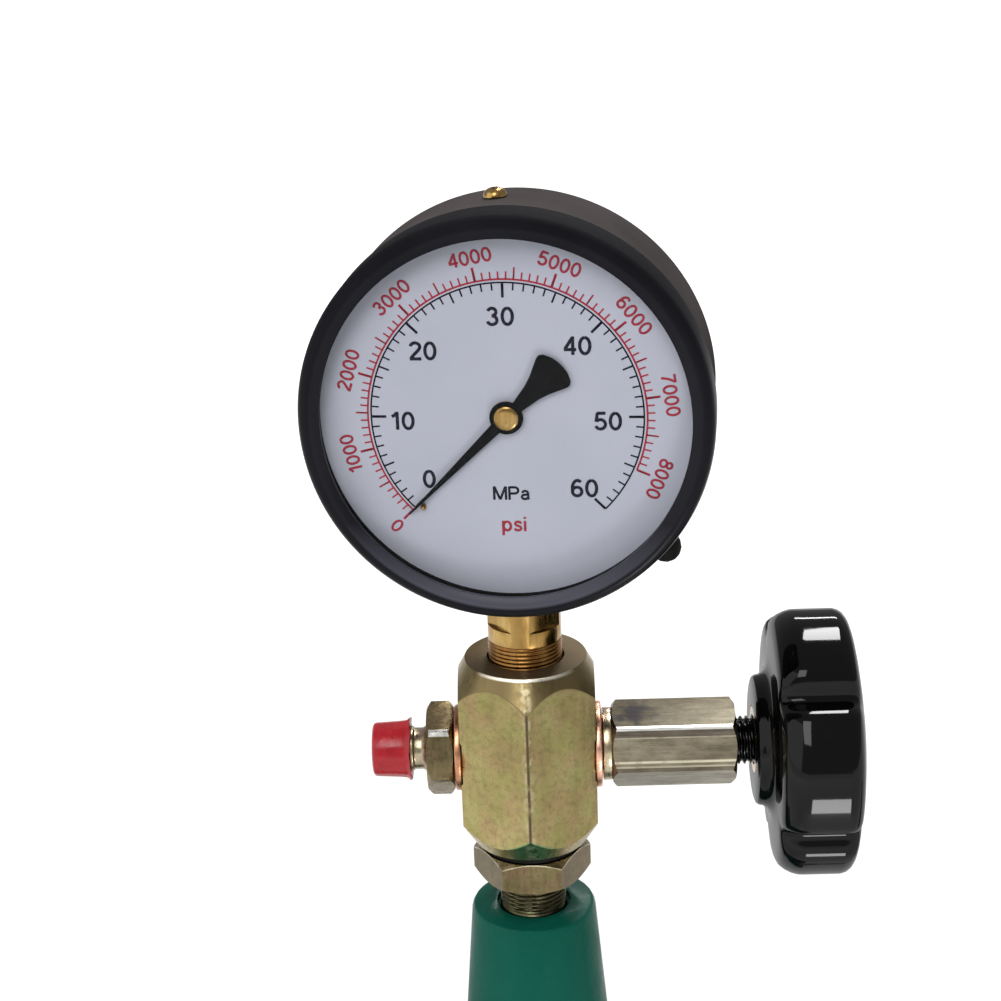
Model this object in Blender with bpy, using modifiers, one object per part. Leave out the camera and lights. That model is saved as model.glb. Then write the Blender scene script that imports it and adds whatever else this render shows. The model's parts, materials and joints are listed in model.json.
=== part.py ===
# Diesel injector tester: a hand pump in a cast stand, with a pressure block, a gauge,
# a capped outlet and a shut-off valve. Metres, +Z up. The origin is under the middle of the
# foot, on the axis of the column; the dial faces -Y, the hand lever points to +X.

import math

import bmesh
import bpy
from mathutils import Matrix, Vector

# Shared fits
SEAT_GAP = 0.0003          # between faces that touch on the real object
THREAD_GAP = 0.0003        # between a thread and its hole, on the radius
OVERRUN = 0.002            # how far a cutter runs past the face it leaves
MERGE = 0.00001            # weld distance of the meshes
ROUND_STEPS = 20           # steps round a middle-sized turned piece
ROUNDING_SHARE = 0.3       # where a rounded edge's middle point lies, of its size
EDGE_BEVEL_ANGLE = math.radians(60)
HEX_STEPS = 24             # steps round the turned ends of a hexagon
FINE_STEPS = 36            # steps round the gauge and the knob
SMALL_STEPS = 12           # steps round pins, screws and bores

# Cast stand
FOOT_LENGTH = 0.150
FOOT_WIDTH = 0.110
FOOT_THICKNESS = 0.012
FOOT_CORNER = 0.018
FOOT_EDGE = 0.002
SLOT_LENGTH = 0.018
SLOT_WIDTH = 0.009
SLOT_INSET = 0.017         # slot centre from the ends and sides of the foot
COLUMN_TOP = 0.190
NECK_RADIUS = 0.0169
NECK_EDGE = 0.0014
COLUMN_RADIUS = 0.031      # where the column meets its flare
FLARE_RADIUS = 0.040
FLARE_HEIGHT = 0.009
CAVITY_FLOOR = 0.016
CAVITY_TOP = 0.086
CAVITY_RADIUS = 0.0140
MOUTH_RADIUS = 0.0102
MOUTH_DEPTH = 0.0012
WINDOW_BOTTOM = 0.026
WINDOW_TOP = 0.074
LUG_THICKNESS = 0.008
LUG_RADIUS = 0.011

# Hand lever
PIVOT_X = 0.030
PIVOT_HEIGHT = 0.044
LEVER_REST_ANGLE = math.radians(25)
LEVER_SWING = math.radians(24)
HUB_RADIUS = 0.010
HUB_WIDTH = 0.0194
ARM_THICKNESS = 0.015
ARM_END_RADIUS = 0.0075
NOSE_REACH = 0.030
NOSE_RADIUS = 0.005
NOSE_NECK = 0.0026         # half height of the finger behind the nose
NOSE_NECK_SHARE = 1.8      # neck behind the nose, in radii of the nose
HUB_OVERLAP_SHARE = 0.94   # how far into the hub the arm's outline starts
NOSE_HALF_ARC = math.radians(120)
HUB_GAP_ANGLE = math.radians(65)   # between the finger and the hub's own outline
SOCKET_START = 0.036
SOCKET_LENGTH = 0.030
SOCKET_RADIUS = 0.0110
SOCKET_DEPTH = 0.024
ROD_RADIUS = 0.007
ROD_LENGTH = 0.225
GRIP_RADIUS = 0.0130
GRIP_LENGTH = 0.112
GRIP_END_WALL = 0.006
GRIP_RIDGE = 0.0011
GRIP_RIDGE_COUNT = 4
PIN_RADIUS = 0.004
CLIP_THICKNESS = 0.001
CLIP_RADIUS = 0.0068
PIN_END = 0.0012           # pin past the clips

# Pump element
TAPPET_RADIUS = 0.0136
TAPPET_PAD_RADIUS = 0.007
TAPPET_PAD_HEIGHT = 0.004
TAPPET_FLOOR = 0.004
TAPPET_WALL_HEIGHT = 0.010
TAPPET_WALL = 0.0013
PLUNGER_RADIUS = 0.0045
PLUNGER_FOOT_RADIUS = 0.0065
PLUNGER_FOOT_HEIGHT = 0.003
PLUNGER_GAP = 0.0003
PLUNGER_START = 0.006      # top of the plunger above the barrel's lower end, at rest
BARREL_LOWER_RADIUS = 0.0075
BARREL_RADIUS = 0.0090
BARREL_SHOULDER = 0.016    # shoulder above the cavity roof
BARREL_LENGTH = 0.028
INLET_HEIGHT = 0.008       # inlet above the cavity roof
INLET_RADIUS = 0.0015
FEED_RADIUS = 0.0025
SPRING_SEAT_THICKNESS = 0.0022
SPRING_RADIUS = 0.0102
SPRING_WIRE = 0.0012       # radius of the wire
SPRING_TURNS = 4.5
VALVE_SEAT_HEIGHT = 0.005
VALVE_SEAT_BORE = 0.003
DELIVERY_HEAD_RADIUS = 0.0042
DELIVERY_HEAD_HEIGHT = 0.003
DELIVERY_STEM_RADIUS = 0.0026
CHAMBER_RADIUS = 0.0048
CHAMBER_HEIGHT = 0.019
DELIVERY_SPRING_RADIUS = 0.0034
DELIVERY_SPRING_WIRE = 0.0005
DELIVERY_SPRING_TURNS = 5.5
COIL_POINTS = 8            # points to a turn
OIL_BORE = 0.0025

# Lock nut, seal and pressure block
STUD_RADIUS = 0.009
STUD_ENGAGED = 0.026
STUD_SHOWN = 0.0094
NUT_FLATS = 0.0277
NUT_HEIGHT = 0.0088
NUT_CHAMFER = 0.0014
SEAL_RADIUS = 0.0138
SEAL_THICKNESS = 0.002
BLOCK_FLATS = 0.036
BLOCK_BELOW = 0.0262       # underside below the side ports' axis
BLOCK_ABOVE = 0.0267       # top above the side ports' axis
BLOCK_TOP_RADIUS = 0.0161
BLOCK_BOTTOM_RADIUS = 0.0156
BLOCK_TOP_CHAMFER = 0.0085
BLOCK_BOTTOM_CHAMFER = 0.0080
GAUGE_PORT_DEPTH = 0.018
SIDE_PORT_DEPTH = 0.009
SPOT_FACE_DEPTH = 0.0005
SPOT_FACE_RADIUS = 0.0121
SPIGOT_RADIUS = 0.007
WASHER_THICKNESS = 0.0018
WASHER_RADIUS = 0.0115

# Capped outlet
OUTLET_FLATS = 0.022
OUTLET_HEX_LENGTH = 0.0071
OUTLET_CHAMFER = 0.0012
OUTLET_NECK_RADIUS = 0.00565
OUTLET_NECK_LENGTH = 0.0022
OUTLET_THREAD_RADIUS = 0.0059
OUTLET_THREAD_LENGTH = 0.0116
OUTLET_BORE = 0.0015
OUTLET_SEAT_RADIUS = 0.003
CAP_WALL = 0.0007
CAP_LENGTH = 0.0108
CAP_TAPER = 0.0004
CAP_LIP_RADIUS = 0.0085
CAP_LIP_THICKNESS = 0.0003
CAP_FLARE_SHARE = 3          # length of the flare, in thicknesses of the lip

# Shut-off valve
COLLAR_RADIUS = 0.00975
COLLAR_LENGTH = 0.0025
VALVE_FLATS = 0.0205
VALVE_HEX_LENGTH = 0.0327
VALVE_CHAMFER = 0.0012
SIDE_HEX_TURN = math.radians(44.5)   # a corner's angle, from the front towards the top
NEEDLE_RADIUS = 0.0023
NEEDLE_TIP = 0.0030
NEEDLE_LENGTH = 0.0215
NEEDLE_HEAD_RADIUS = 0.0055
NEEDLE_HEAD_LENGTH = 0.003
SPINDLE_RADIUS = 0.0065
SPINDLE_SHOWN = 0.0050
SPINDLE_IN_KNOB = 0.0195

# Star knob
KNOB_RADIUS = 0.0360
KNOB_LOBES = 5
KNOB_POINTS = 10           # outline points to a lobe
KNOB_VALLEY_DEPTH = 0.0055
KNOB_VALLEY_SHARPNESS = 8
KNOB_HUB_RADIUS = 0.01735
KNOB_HUB_LENGTH = 0.0050
KNOB_RIM = 0.0180
KNOB_DOME = 0.0068
KNOB_EDGE = 0.0026
KNOB_SHOULDER_SHARE = 1.5
INSERT_WALL = 0.0022

# Gauge
GAUGE_TURN = math.radians(-6)   # the dial looks a little to the left
CASE_RADIUS = 0.0499
CASE_WALL = 0.0015
CASE_BACK = 0.0130              # behind the stem's axis
CASE_FRONT = 0.0204             # front rim, before the stem's axis
CASE_BACK_WALL = 0.0020
CASE_EDGE = 0.0030
CASE_RIM_WIDTH = 0.0037
BEZEL_OVER_CASE = 0.0009        # on the radius
BEZEL_SKIRT = 0.0052            # length of the skirt round the case
BEZEL_CROWN = 0.0081            # crown before the case's rim
BEZEL_LIP = 0.0014
BEZEL_CROWN_SHARE = 0.8
BEZEL_SHOULDER_SHARE = 3
OPENING_INSET = 0.0047          # opening's edge inside the case's radius
GLASS_THICKNESS = 0.0020
GASKET_WIDTH = 0.0020
GASKET_THICKNESS = 0.0019
DIAL_THICKNESS = 0.0008
GLASS_FIT = 0.0003
STEM_RADIUS = 0.010
STEM_SHOWN = 0.0226
STEM_THREAD = 0.0098            # thread above the block
STEM_FLATS = 0.0170
STEM_FLAT_HEIGHT = 0.0100
SOCKET_BLOCK_WIDTH = 0.0220
SOCKET_BLOCK_DEPTH = 0.0130
SOCKET_BLOCK_HEIGHT = 0.0260
SEAL_WASHER_THICKNESS = 0.0015
SEAL_WASHER_RADIUS = 0.0085
SCREW_ANGLES = [math.radians(94), math.radians(214), math.radians(-26)]
SCREW_HEAD_RADIUS = 0.0029
SCREW_HEAD_HEIGHT = 0.0022
CROWN_RADIUS_SHARE = 0.6
CROWN_HEIGHT_SHARE = 0.86
SCREW_SHANK_RADIUS = 0.0014
SCREW_LENGTH = 0.0060
SCREW_PLACE = 0.0010            # before the stem's axis
PLUG_ANGLE = math.radians(-45)
PLUG_RADIUS = 0.0042
PLUG_STANDS = 0.0058
PLUG_PLACE = 0.0100
PLUG_SHANK_RADIUS = 0.0028
PLUG_SHANK_LENGTH = 0.0030

# Gauge movement
TUBE_RADIUS = 0.0330            # of the tube's centre line
TUBE_HALF_WIDTH = 0.0040
TUBE_HALF_WALL = 0.0017
TUBE_END = math.radians(-6)
TUBE_PLACE = 0.0005
TIP_LENGTH = 0.0060
TIP_RADIUS = 0.0022
TOOTH_MODULE = 0.0006
PINION_TEETH = 10
GEAR_RATIO = 8
SECTOR_TOOTH_COUNT = 11
SECTOR_LEAD = 3.5               # teeth from the middle of the row to the pinion, at rest
TOOTH_HEIGHT_SHARE = 0.75
TOOTH_ROOT_SHARE = 1.05
TOOTH_FOOT_SHARE = 0.25         # half width at the root, of the pitch
TOOTH_TOP_SHARE = 0.13          # half width at the tip, of the pitch
POINTER_SWING = math.radians(270)
SECTOR_PIVOT_ANGLE = math.radians(-58)
SECTOR_THICKNESS = 0.0012
SECTOR_HUB_RADIUS = 0.0032
SECTOR_RIM = 0.0026
TAIL_LENGTH = 0.0100
TAIL_RADIUS = 0.0018
TAIL_LEAD = math.radians(48)    # from the line away from the pinion, at rest
UPPER_PILLAR_LEAD = math.radians(118)
LOWER_PILLAR_LAG = math.radians(87)
LINK_RADIUS = 0.0016
LINK_THICKNESS = 0.0008
PLATE_THICKNESS = 0.0012
PLATE_RADIUS = 0.0085
PLATE_SPACE = 0.0078
PILLAR_RADIUS = 0.0018
ARBOR_RADIUS = 0.0009
HAIRSPRING_WIRE = 0.00022
HAIRSPRING_INNER = 0.0015
HAIRSPRING_PITCH = 0.0009
HAIRSPRING_TURNS = 3
HAIRSPRING_POINTS = 12     # in each turn
HAIRSPRING_RISE = 0.0024        # before the pinion's middle

# Pointer
POINTER_LENGTH = 0.0352
POINTER_TAIL = 0.0180
POINTER_THICKNESS = 0.0005
POINTER_HUB_RADIUS = 0.0041
POINTER_NECK = 0.0011           # half width beside the hub
POINTER_TIP = 0.0003            # half width at the tip
POINTER_TAIL_WIDTH = 0.0046     # half width at the tail's end
TAIL_SHOULDER_SHARE = 0.8
POINTER_BOSS = 0.0005
HUB_CAP_RADIUS = 0.0030
HUB_CAP_HEIGHT = 0.0006
HUB_CAP_TOP_SHARE = 0.8
POINTER_ZERO = math.radians(225)
STOP_PIN_RADIUS = 0.0006
STOP_PIN_REACH = 0.0310
STOP_PIN_ANGLE = math.radians(228)
STOP_PIN_HEIGHT = 0.0016

# Oil tank
TANK_BOSS_RADIUS = 0.009
TANK_BOSS_FACE = 0.037
TANK_RADIUS = 0.034
TANK_WALL = 0.0015
TANK_BELOW_FEED = 0.036
TANK_ABOVE_FEED = 0.018
TANK_EDGE = 0.004
TANK_BEAD = 0.0009
TANK_PAD_RADIUS = 0.0085
TANK_PAD_THICKNESS = 0.0034
UNION_RADIUS = 0.005
UNION_BORE = 0.002
UNION_IN_BOSS = 0.013
UNION_HEAD_FLATS = 0.014
UNION_HEAD_HEIGHT = 0.005
TANK_WASHER_RADIUS = 0.0075
TANK_WASHER_THICKNESS = 0.0012
LID_THICKNESS = 0.0016
LID_SKIRT = 0.006
LID_CROWN = 0.002
LID_KNOB_RADIUS = 0.008
LID_KNOB_NECK = 0.004
LID_KNOB_HEIGHT = 0.011
LID_KNOB_TOP_SHARE = 0.75
LID_KNOB_UPPER_SHARE = 0.22
LID_KNOB_MIDDLE_SHARE = 0.45

# Places that follow from the sizes above
NUT_BOTTOM = COLUMN_TOP + STUD_SHOWN
SEAL_BOTTOM = NUT_BOTTOM + NUT_HEIGHT + SEAT_GAP
BLOCK_BOTTOM = SEAL_BOTTOM + SEAL_THICKNESS + SEAT_GAP
PORT_HEIGHT = BLOCK_BOTTOM + BLOCK_BELOW
BLOCK_TOP = PORT_HEIGHT + BLOCK_ABOVE
STUD_BOTTOM = COLUMN_TOP - STUD_ENGAGED
GAUGE_HEIGHT = BLOCK_TOP + STEM_SHOWN + CASE_RADIUS
BARREL_TOP = CAVITY_TOP + BARREL_LENGTH
VALVE_SEAT_BOTTOM = BARREL_TOP + SEAT_GAP
HOLDER_BOTTOM = VALVE_SEAT_BOTTOM + VALVE_SEAT_HEIGHT + SEAT_GAP
HOLDER_TOP = STUD_BOTTOM - SEAT_GAP
BORE_RADIUS = BARREL_RADIUS + THREAD_GAP
NOSE_DIP = LEVER_SWING / 2
NOSE_AXIS_HEIGHT = PIVOT_HEIGHT - NOSE_REACH * math.sin(NOSE_DIP)
TAPPET_BOTTOM = NOSE_AXIS_HEIGHT + NOSE_RADIUS + SEAT_GAP
TAPPET_SEAT = TAPPET_BOTTOM + TAPPET_PAD_HEIGHT + TAPPET_FLOOR
PLUNGER_BOTTOM = TAPPET_SEAT + SEAT_GAP
PLUNGER_TOP = CAVITY_TOP + PLUNGER_START
SPRING_SEAT_BOTTOM = CAVITY_TOP - SEAT_GAP - SPRING_SEAT_THICKNESS
LUG_GAP = HUB_WIDTH / 2 + SEAT_GAP
LUG_FACE = LUG_GAP + LUG_THICKNESS
WASHER_START = BLOCK_FLATS / 2 - SPOT_FACE_DEPTH + SEAT_GAP
FITTING_START = WASHER_START + WASHER_THICKNESS + SEAT_GAP
SPIGOT_START = BLOCK_FLATS / 2 - SIDE_PORT_DEPTH + SEAT_GAP
BEZEL_RADIUS = CASE_RADIUS + BEZEL_OVER_CASE
OPENING_RADIUS = CASE_RADIUS - OPENING_INSET
DIAL_PLACE = CASE_FRONT + SEAT_GAP
DIAL_FACE = DIAL_PLACE + DIAL_THICKNESS
GASKET_PLACE = DIAL_FACE + SEAT_GAP
GLASS_PLACE = GASKET_PLACE + GASKET_THICKNESS + SEAT_GAP
GLASS_FACE = GLASS_PLACE + GLASS_THICKNESS
LIP_PLACE = GLASS_FACE + SEAT_GAP
REAR_PLATE_PLACE = SOCKET_BLOCK_DEPTH / 2 + SEAT_GAP
TANK_FEED_HEIGHT = CAVITY_TOP + INLET_HEIGHT
TANK_BOTTOM = TANK_FEED_HEIGHT - TANK_BELOW_FEED
TANK_TOP = TANK_FEED_HEIGHT + TANK_ABOVE_FEED

LOOKS = {
    "green_paint": ((0.012, 0.115, 0.080), 0.32, 0.0),
    "zinc_yellow": ((0.45, 0.36, 0.17), 0.34, 1.0),
    "zinc_grey": ((0.42, 0.38, 0.27), 0.36, 1.0),
    "copper": ((0.72, 0.36, 0.22), 0.38, 1.0),
    "brass": ((0.68, 0.47, 0.17), 0.28, 1.0),
    "steel": ((0.52, 0.52, 0.53), 0.33, 1.0),
    "black_steel": ((0.03, 0.03, 0.032), 0.42, 0.6),
    "case_black": ((0.025, 0.024, 0.024), 0.55, 0.0),
    "bezel_black": ((0.012, 0.012, 0.014), 0.34, 0.0),
    "knob_black": ((0.006, 0.006, 0.007), 0.10, 0.0),
    "rubber": ((0.02, 0.02, 0.02), 0.75, 0.0),
    "red_plastic": ((0.62, 0.03, 0.05), 0.40, 0.0),
    "dial_white": ((0.80, 0.84, 0.92), 0.55, 0.0),
    "glass": ((0.95, 0.97, 1.00), 0.03, 0.0),
    "pointer_black": ((0.01, 0.01, 0.01), 0.45, 0.0),
}


def new_collection(name):
    collection = bpy.data.collections.new(name)
    bpy.context.scene.collection.children.link(collection)
    return collection


def give_look(piece, look):
    colour, roughness, metallic = LOOKS[look]
    material = bpy.data.materials.new(piece.name + "_finish")
    material.use_nodes = True
    shader = material.node_tree.nodes["Principled BSDF"]
    shader.inputs["Base Color"].default_value = (*colour, 1.0)
    shader.inputs["Roughness"].default_value = roughness
    shader.inputs["Metallic"].default_value = metallic
    if look == "glass":
        shader.inputs["Transmission Weight"].default_value = 1.0
    piece.data.materials.clear()
    piece.data.materials.append(material)


def add_piece(name, data, place, turn, parent):
    piece = bpy.data.objects.new(name, data)
    PIECES.objects.link(piece)
    piece.parent = parent
    piece.location = place
    piece.rotation_euler = turn
    return piece


def turned(name, profile, look=None, steps=ROUND_STEPS, place=(0, 0, 0), turn=(0, 0, 0),
           parent=None):
    """A turned piece. The profile holds (radius, height), from the top down its outer side."""
    data = bpy.data.meshes.new(name)
    points = [(radius, 0.0, height) for radius, height in profile]
    edges = [(index, index + 1) for index in range(len(points) - 1)]
    if profile[0][0] > 0:
        edges.append((len(points) - 1, 0))
    data.from_pydata(points, edges, [])
    piece = add_piece(name, data, place, turn, parent)
    screw = piece.modifiers.new("Turn", "SCREW")
    screw.steps = steps
    screw.render_steps = steps
    screw.use_merge_vertices = True
    screw.merge_threshold = MERGE
    screw.use_smooth_shade = True
    if look:
        give_look(piece, look)
    return piece


def cylinder(name, radius, start, end, steps=SMALL_STEPS, look=None, parent=None):
    """A round bar between two points."""
    first = Vector(start)
    span = Vector(end) - first
    shape = bmesh.new()
    bmesh.ops.create_cone(shape, cap_ends=True, segments=steps, radius1=radius,
                          radius2=radius, depth=span.length)
    data = bpy.data.meshes.new(name)
    shape.to_mesh(data)
    shape.free()
    turn = span.to_track_quat("Z", "Y").to_euler()
    piece = add_piece(name, data, first + span / 2, turn, parent)
    if look:
        give_look(piece, look)
    return piece


def box(name, low, high, look=None, parent=None):
    """A box between its lowest and its highest corner."""
    low_corner = Vector(low)
    size = Vector(high) - low_corner
    shape = bmesh.new()
    bmesh.ops.create_cube(shape, size=1.0, matrix=Matrix.Diagonal((*size, 1.0)))
    data = bpy.data.meshes.new(name)
    shape.to_mesh(data)
    shape.free()
    piece = add_piece(name, data, low_corner + size / 2, (0, 0, 0), parent)
    if look:
        give_look(piece, look)
    return piece


def hexagon(name, flats, bottom, top, corner_angle, place=(0, 0, 0), turn=(0, 0, 0),
            parent=None):
    """A plain hexagonal bar; one corner points at corner_angle from +X."""
    shape = bmesh.new()
    first_corner = math.pi / 2
    matrix = Matrix.Translation((0, 0, (bottom + top) / 2))
    matrix = matrix @ Matrix.Rotation(corner_angle - first_corner, 4, "Z")
    bmesh.ops.create_cone(shape, cap_ends=True, segments=6, radius1=corner_radius(flats),
                          radius2=corner_radius(flats), depth=top - bottom, matrix=matrix)
    data = bpy.data.meshes.new(name)
    shape.to_mesh(data)
    shape.free()
    return add_piece(name, data, place, turn, parent)


def plate(name, outline, thickness, look=None, place=(0, 0, 0), turn=(0, 0, 0), parent=None):
    """A flat plate from an outline in its own XY plane, half its thickness to each side."""
    curve = bpy.data.curves.new(name + "_outline", "CURVE")
    curve.dimensions = "2D"
    curve.fill_mode = "BOTH"
    curve.extrude = thickness / 2
    spline = curve.splines.new("POLY")
    spline.points.add(len(outline) - 1)
    for point, (x, y) in zip(spline.points, outline):
        point.co = (x, y, 0.0, 1.0)
    spline.use_cyclic_u = True
    return mesh_from_curve(name, curve, look, place, turn, parent)


def wire(name, points, radius, look, resolution=1, place=(0, 0, 0), turn=(0, 0, 0),
         parent=None):
    """A round wire through points."""
    curve = bpy.data.curves.new(name + "_path", "CURVE")
    curve.dimensions = "3D"
    curve.bevel_depth = radius
    curve.bevel_resolution = resolution
    curve.use_fill_caps = True
    spline = curve.splines.new("POLY")
    spline.points.add(len(points) - 1)
    for point, place_of_point in zip(spline.points, points):
        point.co = (*place_of_point, 1.0)
    return mesh_from_curve(name, curve, look, place, turn, parent)


def mesh_from_curve(name, curve, look, place, turn, parent):
    """The curve's evaluated mesh, welded, as a piece in the curve's place."""
    guide = add_piece(name + "_guide", curve, place, turn, parent)
    graph = bpy.context.evaluated_depsgraph_get()
    data = bpy.data.meshes.new_from_object(guide.evaluated_get(graph))
    bpy.data.objects.remove(guide)
    shape = bmesh.new()
    shape.from_mesh(data)
    bmesh.ops.remove_doubles(shape, verts=shape.verts, dist=MERGE)
    bmesh.ops.recalc_face_normals(shape, faces=shape.faces)
    shape.to_mesh(data)
    shape.free()
    data.name = name
    piece = add_piece(name, data, place, turn, parent)
    if look:
        give_look(piece, look)
    return piece


def combine(piece, tool, operation="DIFFERENCE"):
    """Cuts, joins or trims a piece with a tool, which moves to the cutters."""
    PIECES.objects.unlink(tool)
    CUTTERS.objects.link(tool)
    tool.hide_render = True
    tool.display_type = "WIRE"
    step = piece.modifiers.new(tool.name, "BOOLEAN")
    step.operation = operation
    step.solver = "EXACT"
    step.object = tool


def corner_radius(flats):
    return flats / 2 / math.cos(math.pi / 6)


def arc(centre, radius, start, end, steps):
    """Points along an arc, both ends included."""
    points = []
    for index in range(steps + 1):
        angle = start + (end - start) * index / steps
        points.append((centre[0] + radius * math.cos(angle),
                       centre[1] + radius * math.sin(angle)))
    return points


def two_circle_outline(first, first_radius, second, second_radius, steps=SMALL_STEPS):
    """The outline of two circles and the tangents that join them."""
    run = Vector(second) - Vector(first)
    heading = math.atan2(run.y, run.x)
    lean = math.acos((first_radius - second_radius) / run.length)
    outline = arc(first, first_radius, heading + lean, heading + 2 * math.pi - lean, steps)
    outline += arc(second, second_radius, heading - lean, heading + lean, steps)
    return outline


def helix(radius, bottom, top, turns, points_per_turn):
    """Points along a coil about the Z axis."""
    count = round(turns * points_per_turn)
    points = []
    for index in range(count + 1):
        angle = 2 * math.pi * index / points_per_turn
        height = bottom + (top - bottom) * index / count
        points.append((radius * math.cos(angle), radius * math.sin(angle), height))
    return points


def chamfered_hexagon(name, flats, bottom, top, face_radii, chamfers, corner_angle, look,
                      place=(0, 0, 0), turn=(0, 0, 0), parent=None):
    """A hexagonal piece whose corners are turned off at the bottom and at the top."""
    piece = hexagon(name, flats, bottom, top, corner_angle, place, turn, parent)
    give_look(piece, look)
    outside = corner_radius(flats) + MERGE
    low_radius, high_radius = face_radii
    low_chamfer, high_chamfer = chamfers
    profile = [
        (0, top),
        (high_radius, top),
        (outside, top - high_chamfer),
        (outside, bottom + low_chamfer),
        (low_radius, bottom),
        (0, bottom),
    ]
    combine(piece, turned(name + "_envelope", profile, None, HEX_STEPS, place, turn, parent),
            "INTERSECT")
    return piece


def pump_stand():
    foot_outline = []
    inner_x = FOOT_LENGTH / 2 - FOOT_CORNER
    inner_y = FOOT_WIDTH / 2 - FOOT_CORNER
    for quarter, (side_x, side_y) in enumerate([(1, 1), (-1, 1), (-1, -1), (1, -1)]):
        start = quarter * math.pi / 2
        foot_outline += arc((side_x * inner_x, side_y * inner_y), FOOT_CORNER, start,
                            start + math.pi / 2, 4)
    stand = plate("pump_stand", foot_outline, FOOT_THICKNESS, "green_paint",
                  (0, 0, FOOT_THICKNESS / 2))
    edge = stand.modifiers.new("Soft edges", "BEVEL")
    edge.width = FOOT_EDGE
    edge.segments = 2
    edge.limit_method = "ANGLE"
    edge.angle_limit = EDGE_BEVEL_ANGLE

    flare_top = FOOT_THICKNESS + FLARE_HEIGHT
    slope = (COLUMN_RADIUS - NECK_RADIUS) / (COLUMN_TOP - flare_top)
    profile = [
        (0, COLUMN_TOP),
        (NECK_RADIUS - NECK_EDGE, COLUMN_TOP),
        (NECK_RADIUS - NECK_EDGE * ROUNDING_SHARE, COLUMN_TOP - NECK_EDGE * ROUNDING_SHARE),
        (NECK_RADIUS + slope * NECK_EDGE, COLUMN_TOP - NECK_EDGE),
    ]
    sweep = FLARE_RADIUS - COLUMN_RADIUS
    for index in range(4):
        angle = math.pi / 2 * index / 3
        profile.append((FLARE_RADIUS - sweep * math.cos(angle),
                        flare_top - FLARE_HEIGHT * math.sin(angle)))
    profile += [(FLARE_RADIUS, FOOT_THICKNESS / 2), (0, FOOT_THICKNESS / 2)]
    combine(stand, turned("column_body", profile, steps=FINE_STEPS), "UNION")

    for side in (-1, 1):
        outline = two_circle_outline((NECK_RADIUS, PIVOT_HEIGHT), LUG_RADIUS,
                                     (PIVOT_X, PIVOT_HEIGHT), LUG_RADIUS)
        lug = plate("lug_shape_%d" % side, outline, LUG_THICKNESS,
                    place=(0, side * (LUG_GAP + LUG_THICKNESS / 2), 0),
                    turn=(math.pi / 2, 0, 0))
        combine(stand, lug, "UNION")
    boss = cylinder("tank_boss_shape", TANK_BOSS_RADIUS, (-NECK_RADIUS, 0, TANK_FEED_HEIGHT),
                    (-TANK_BOSS_FACE, 0, TANK_FEED_HEIGHT), ROUND_STEPS)
    combine(stand, boss, "UNION")

    shoulder = CAVITY_TOP + BARREL_SHOULDER
    bore = [
        (0, COLUMN_TOP + OVERRUN),
        (MOUTH_RADIUS, COLUMN_TOP + OVERRUN),
        (MOUTH_RADIUS, COLUMN_TOP - MOUTH_DEPTH),
        (BORE_RADIUS, COLUMN_TOP - MOUTH_DEPTH - THREAD_GAP),
        (BORE_RADIUS, shoulder),
        (BARREL_LOWER_RADIUS + THREAD_GAP, shoulder),
        (BARREL_LOWER_RADIUS + THREAD_GAP, CAVITY_TOP),
        (CAVITY_RADIUS, CAVITY_TOP),
        (CAVITY_RADIUS, CAVITY_FLOOR),
        (0, CAVITY_FLOOR),
    ]
    combine(stand, turned("column_bore", bore))
    window = box("lever_window", (0, -LUG_GAP, WINDOW_BOTTOM),
                 (PIVOT_X + LUG_RADIUS + OVERRUN, LUG_GAP, WINDOW_TOP))
    combine(stand, window)
    reach = LUG_FACE + OVERRUN
    combine(stand, cylinder("pivot_hole", PIN_RADIUS + SEAT_GAP,
                            (PIVOT_X, -reach, PIVOT_HEIGHT), (PIVOT_X, reach, PIVOT_HEIGHT)))
    union_end = TANK_BOSS_FACE - UNION_IN_BOSS - SEAT_GAP
    combine(stand, cylinder("union_hole", UNION_RADIUS + THREAD_GAP,
                            (-TANK_BOSS_FACE - OVERRUN, 0, TANK_FEED_HEIGHT),
                            (-union_end, 0, TANK_FEED_HEIGHT)))
    combine(stand, cylinder("feed_hole", FEED_RADIUS,
                            (-union_end - OVERRUN, 0, TANK_FEED_HEIGHT),
                            (-BARREL_LOWER_RADIUS + OVERRUN, 0, TANK_FEED_HEIGHT)))
    for side_x in (-1, 1):
        for side_y in (-1, 1):
            centre_x = side_x * (FOOT_LENGTH / 2 - SLOT_INSET)
            centre_y = side_y * (FOOT_WIDTH / 2 - SLOT_INSET)
            half = (SLOT_LENGTH - SLOT_WIDTH) / 2
            outline = two_circle_outline((centre_x - half, centre_y), SLOT_WIDTH / 2,
                                         (centre_x + half, centre_y), SLOT_WIDTH / 2, SMALL_STEPS // 2)
            slot = plate("bolt_slot_%d_%d" % (side_x, side_y), outline,
                         FOOT_THICKNESS + 2 * OVERRUN, place=(0, 0, FOOT_THICKNESS / 2))
            combine(stand, slot)
    return stand


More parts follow.
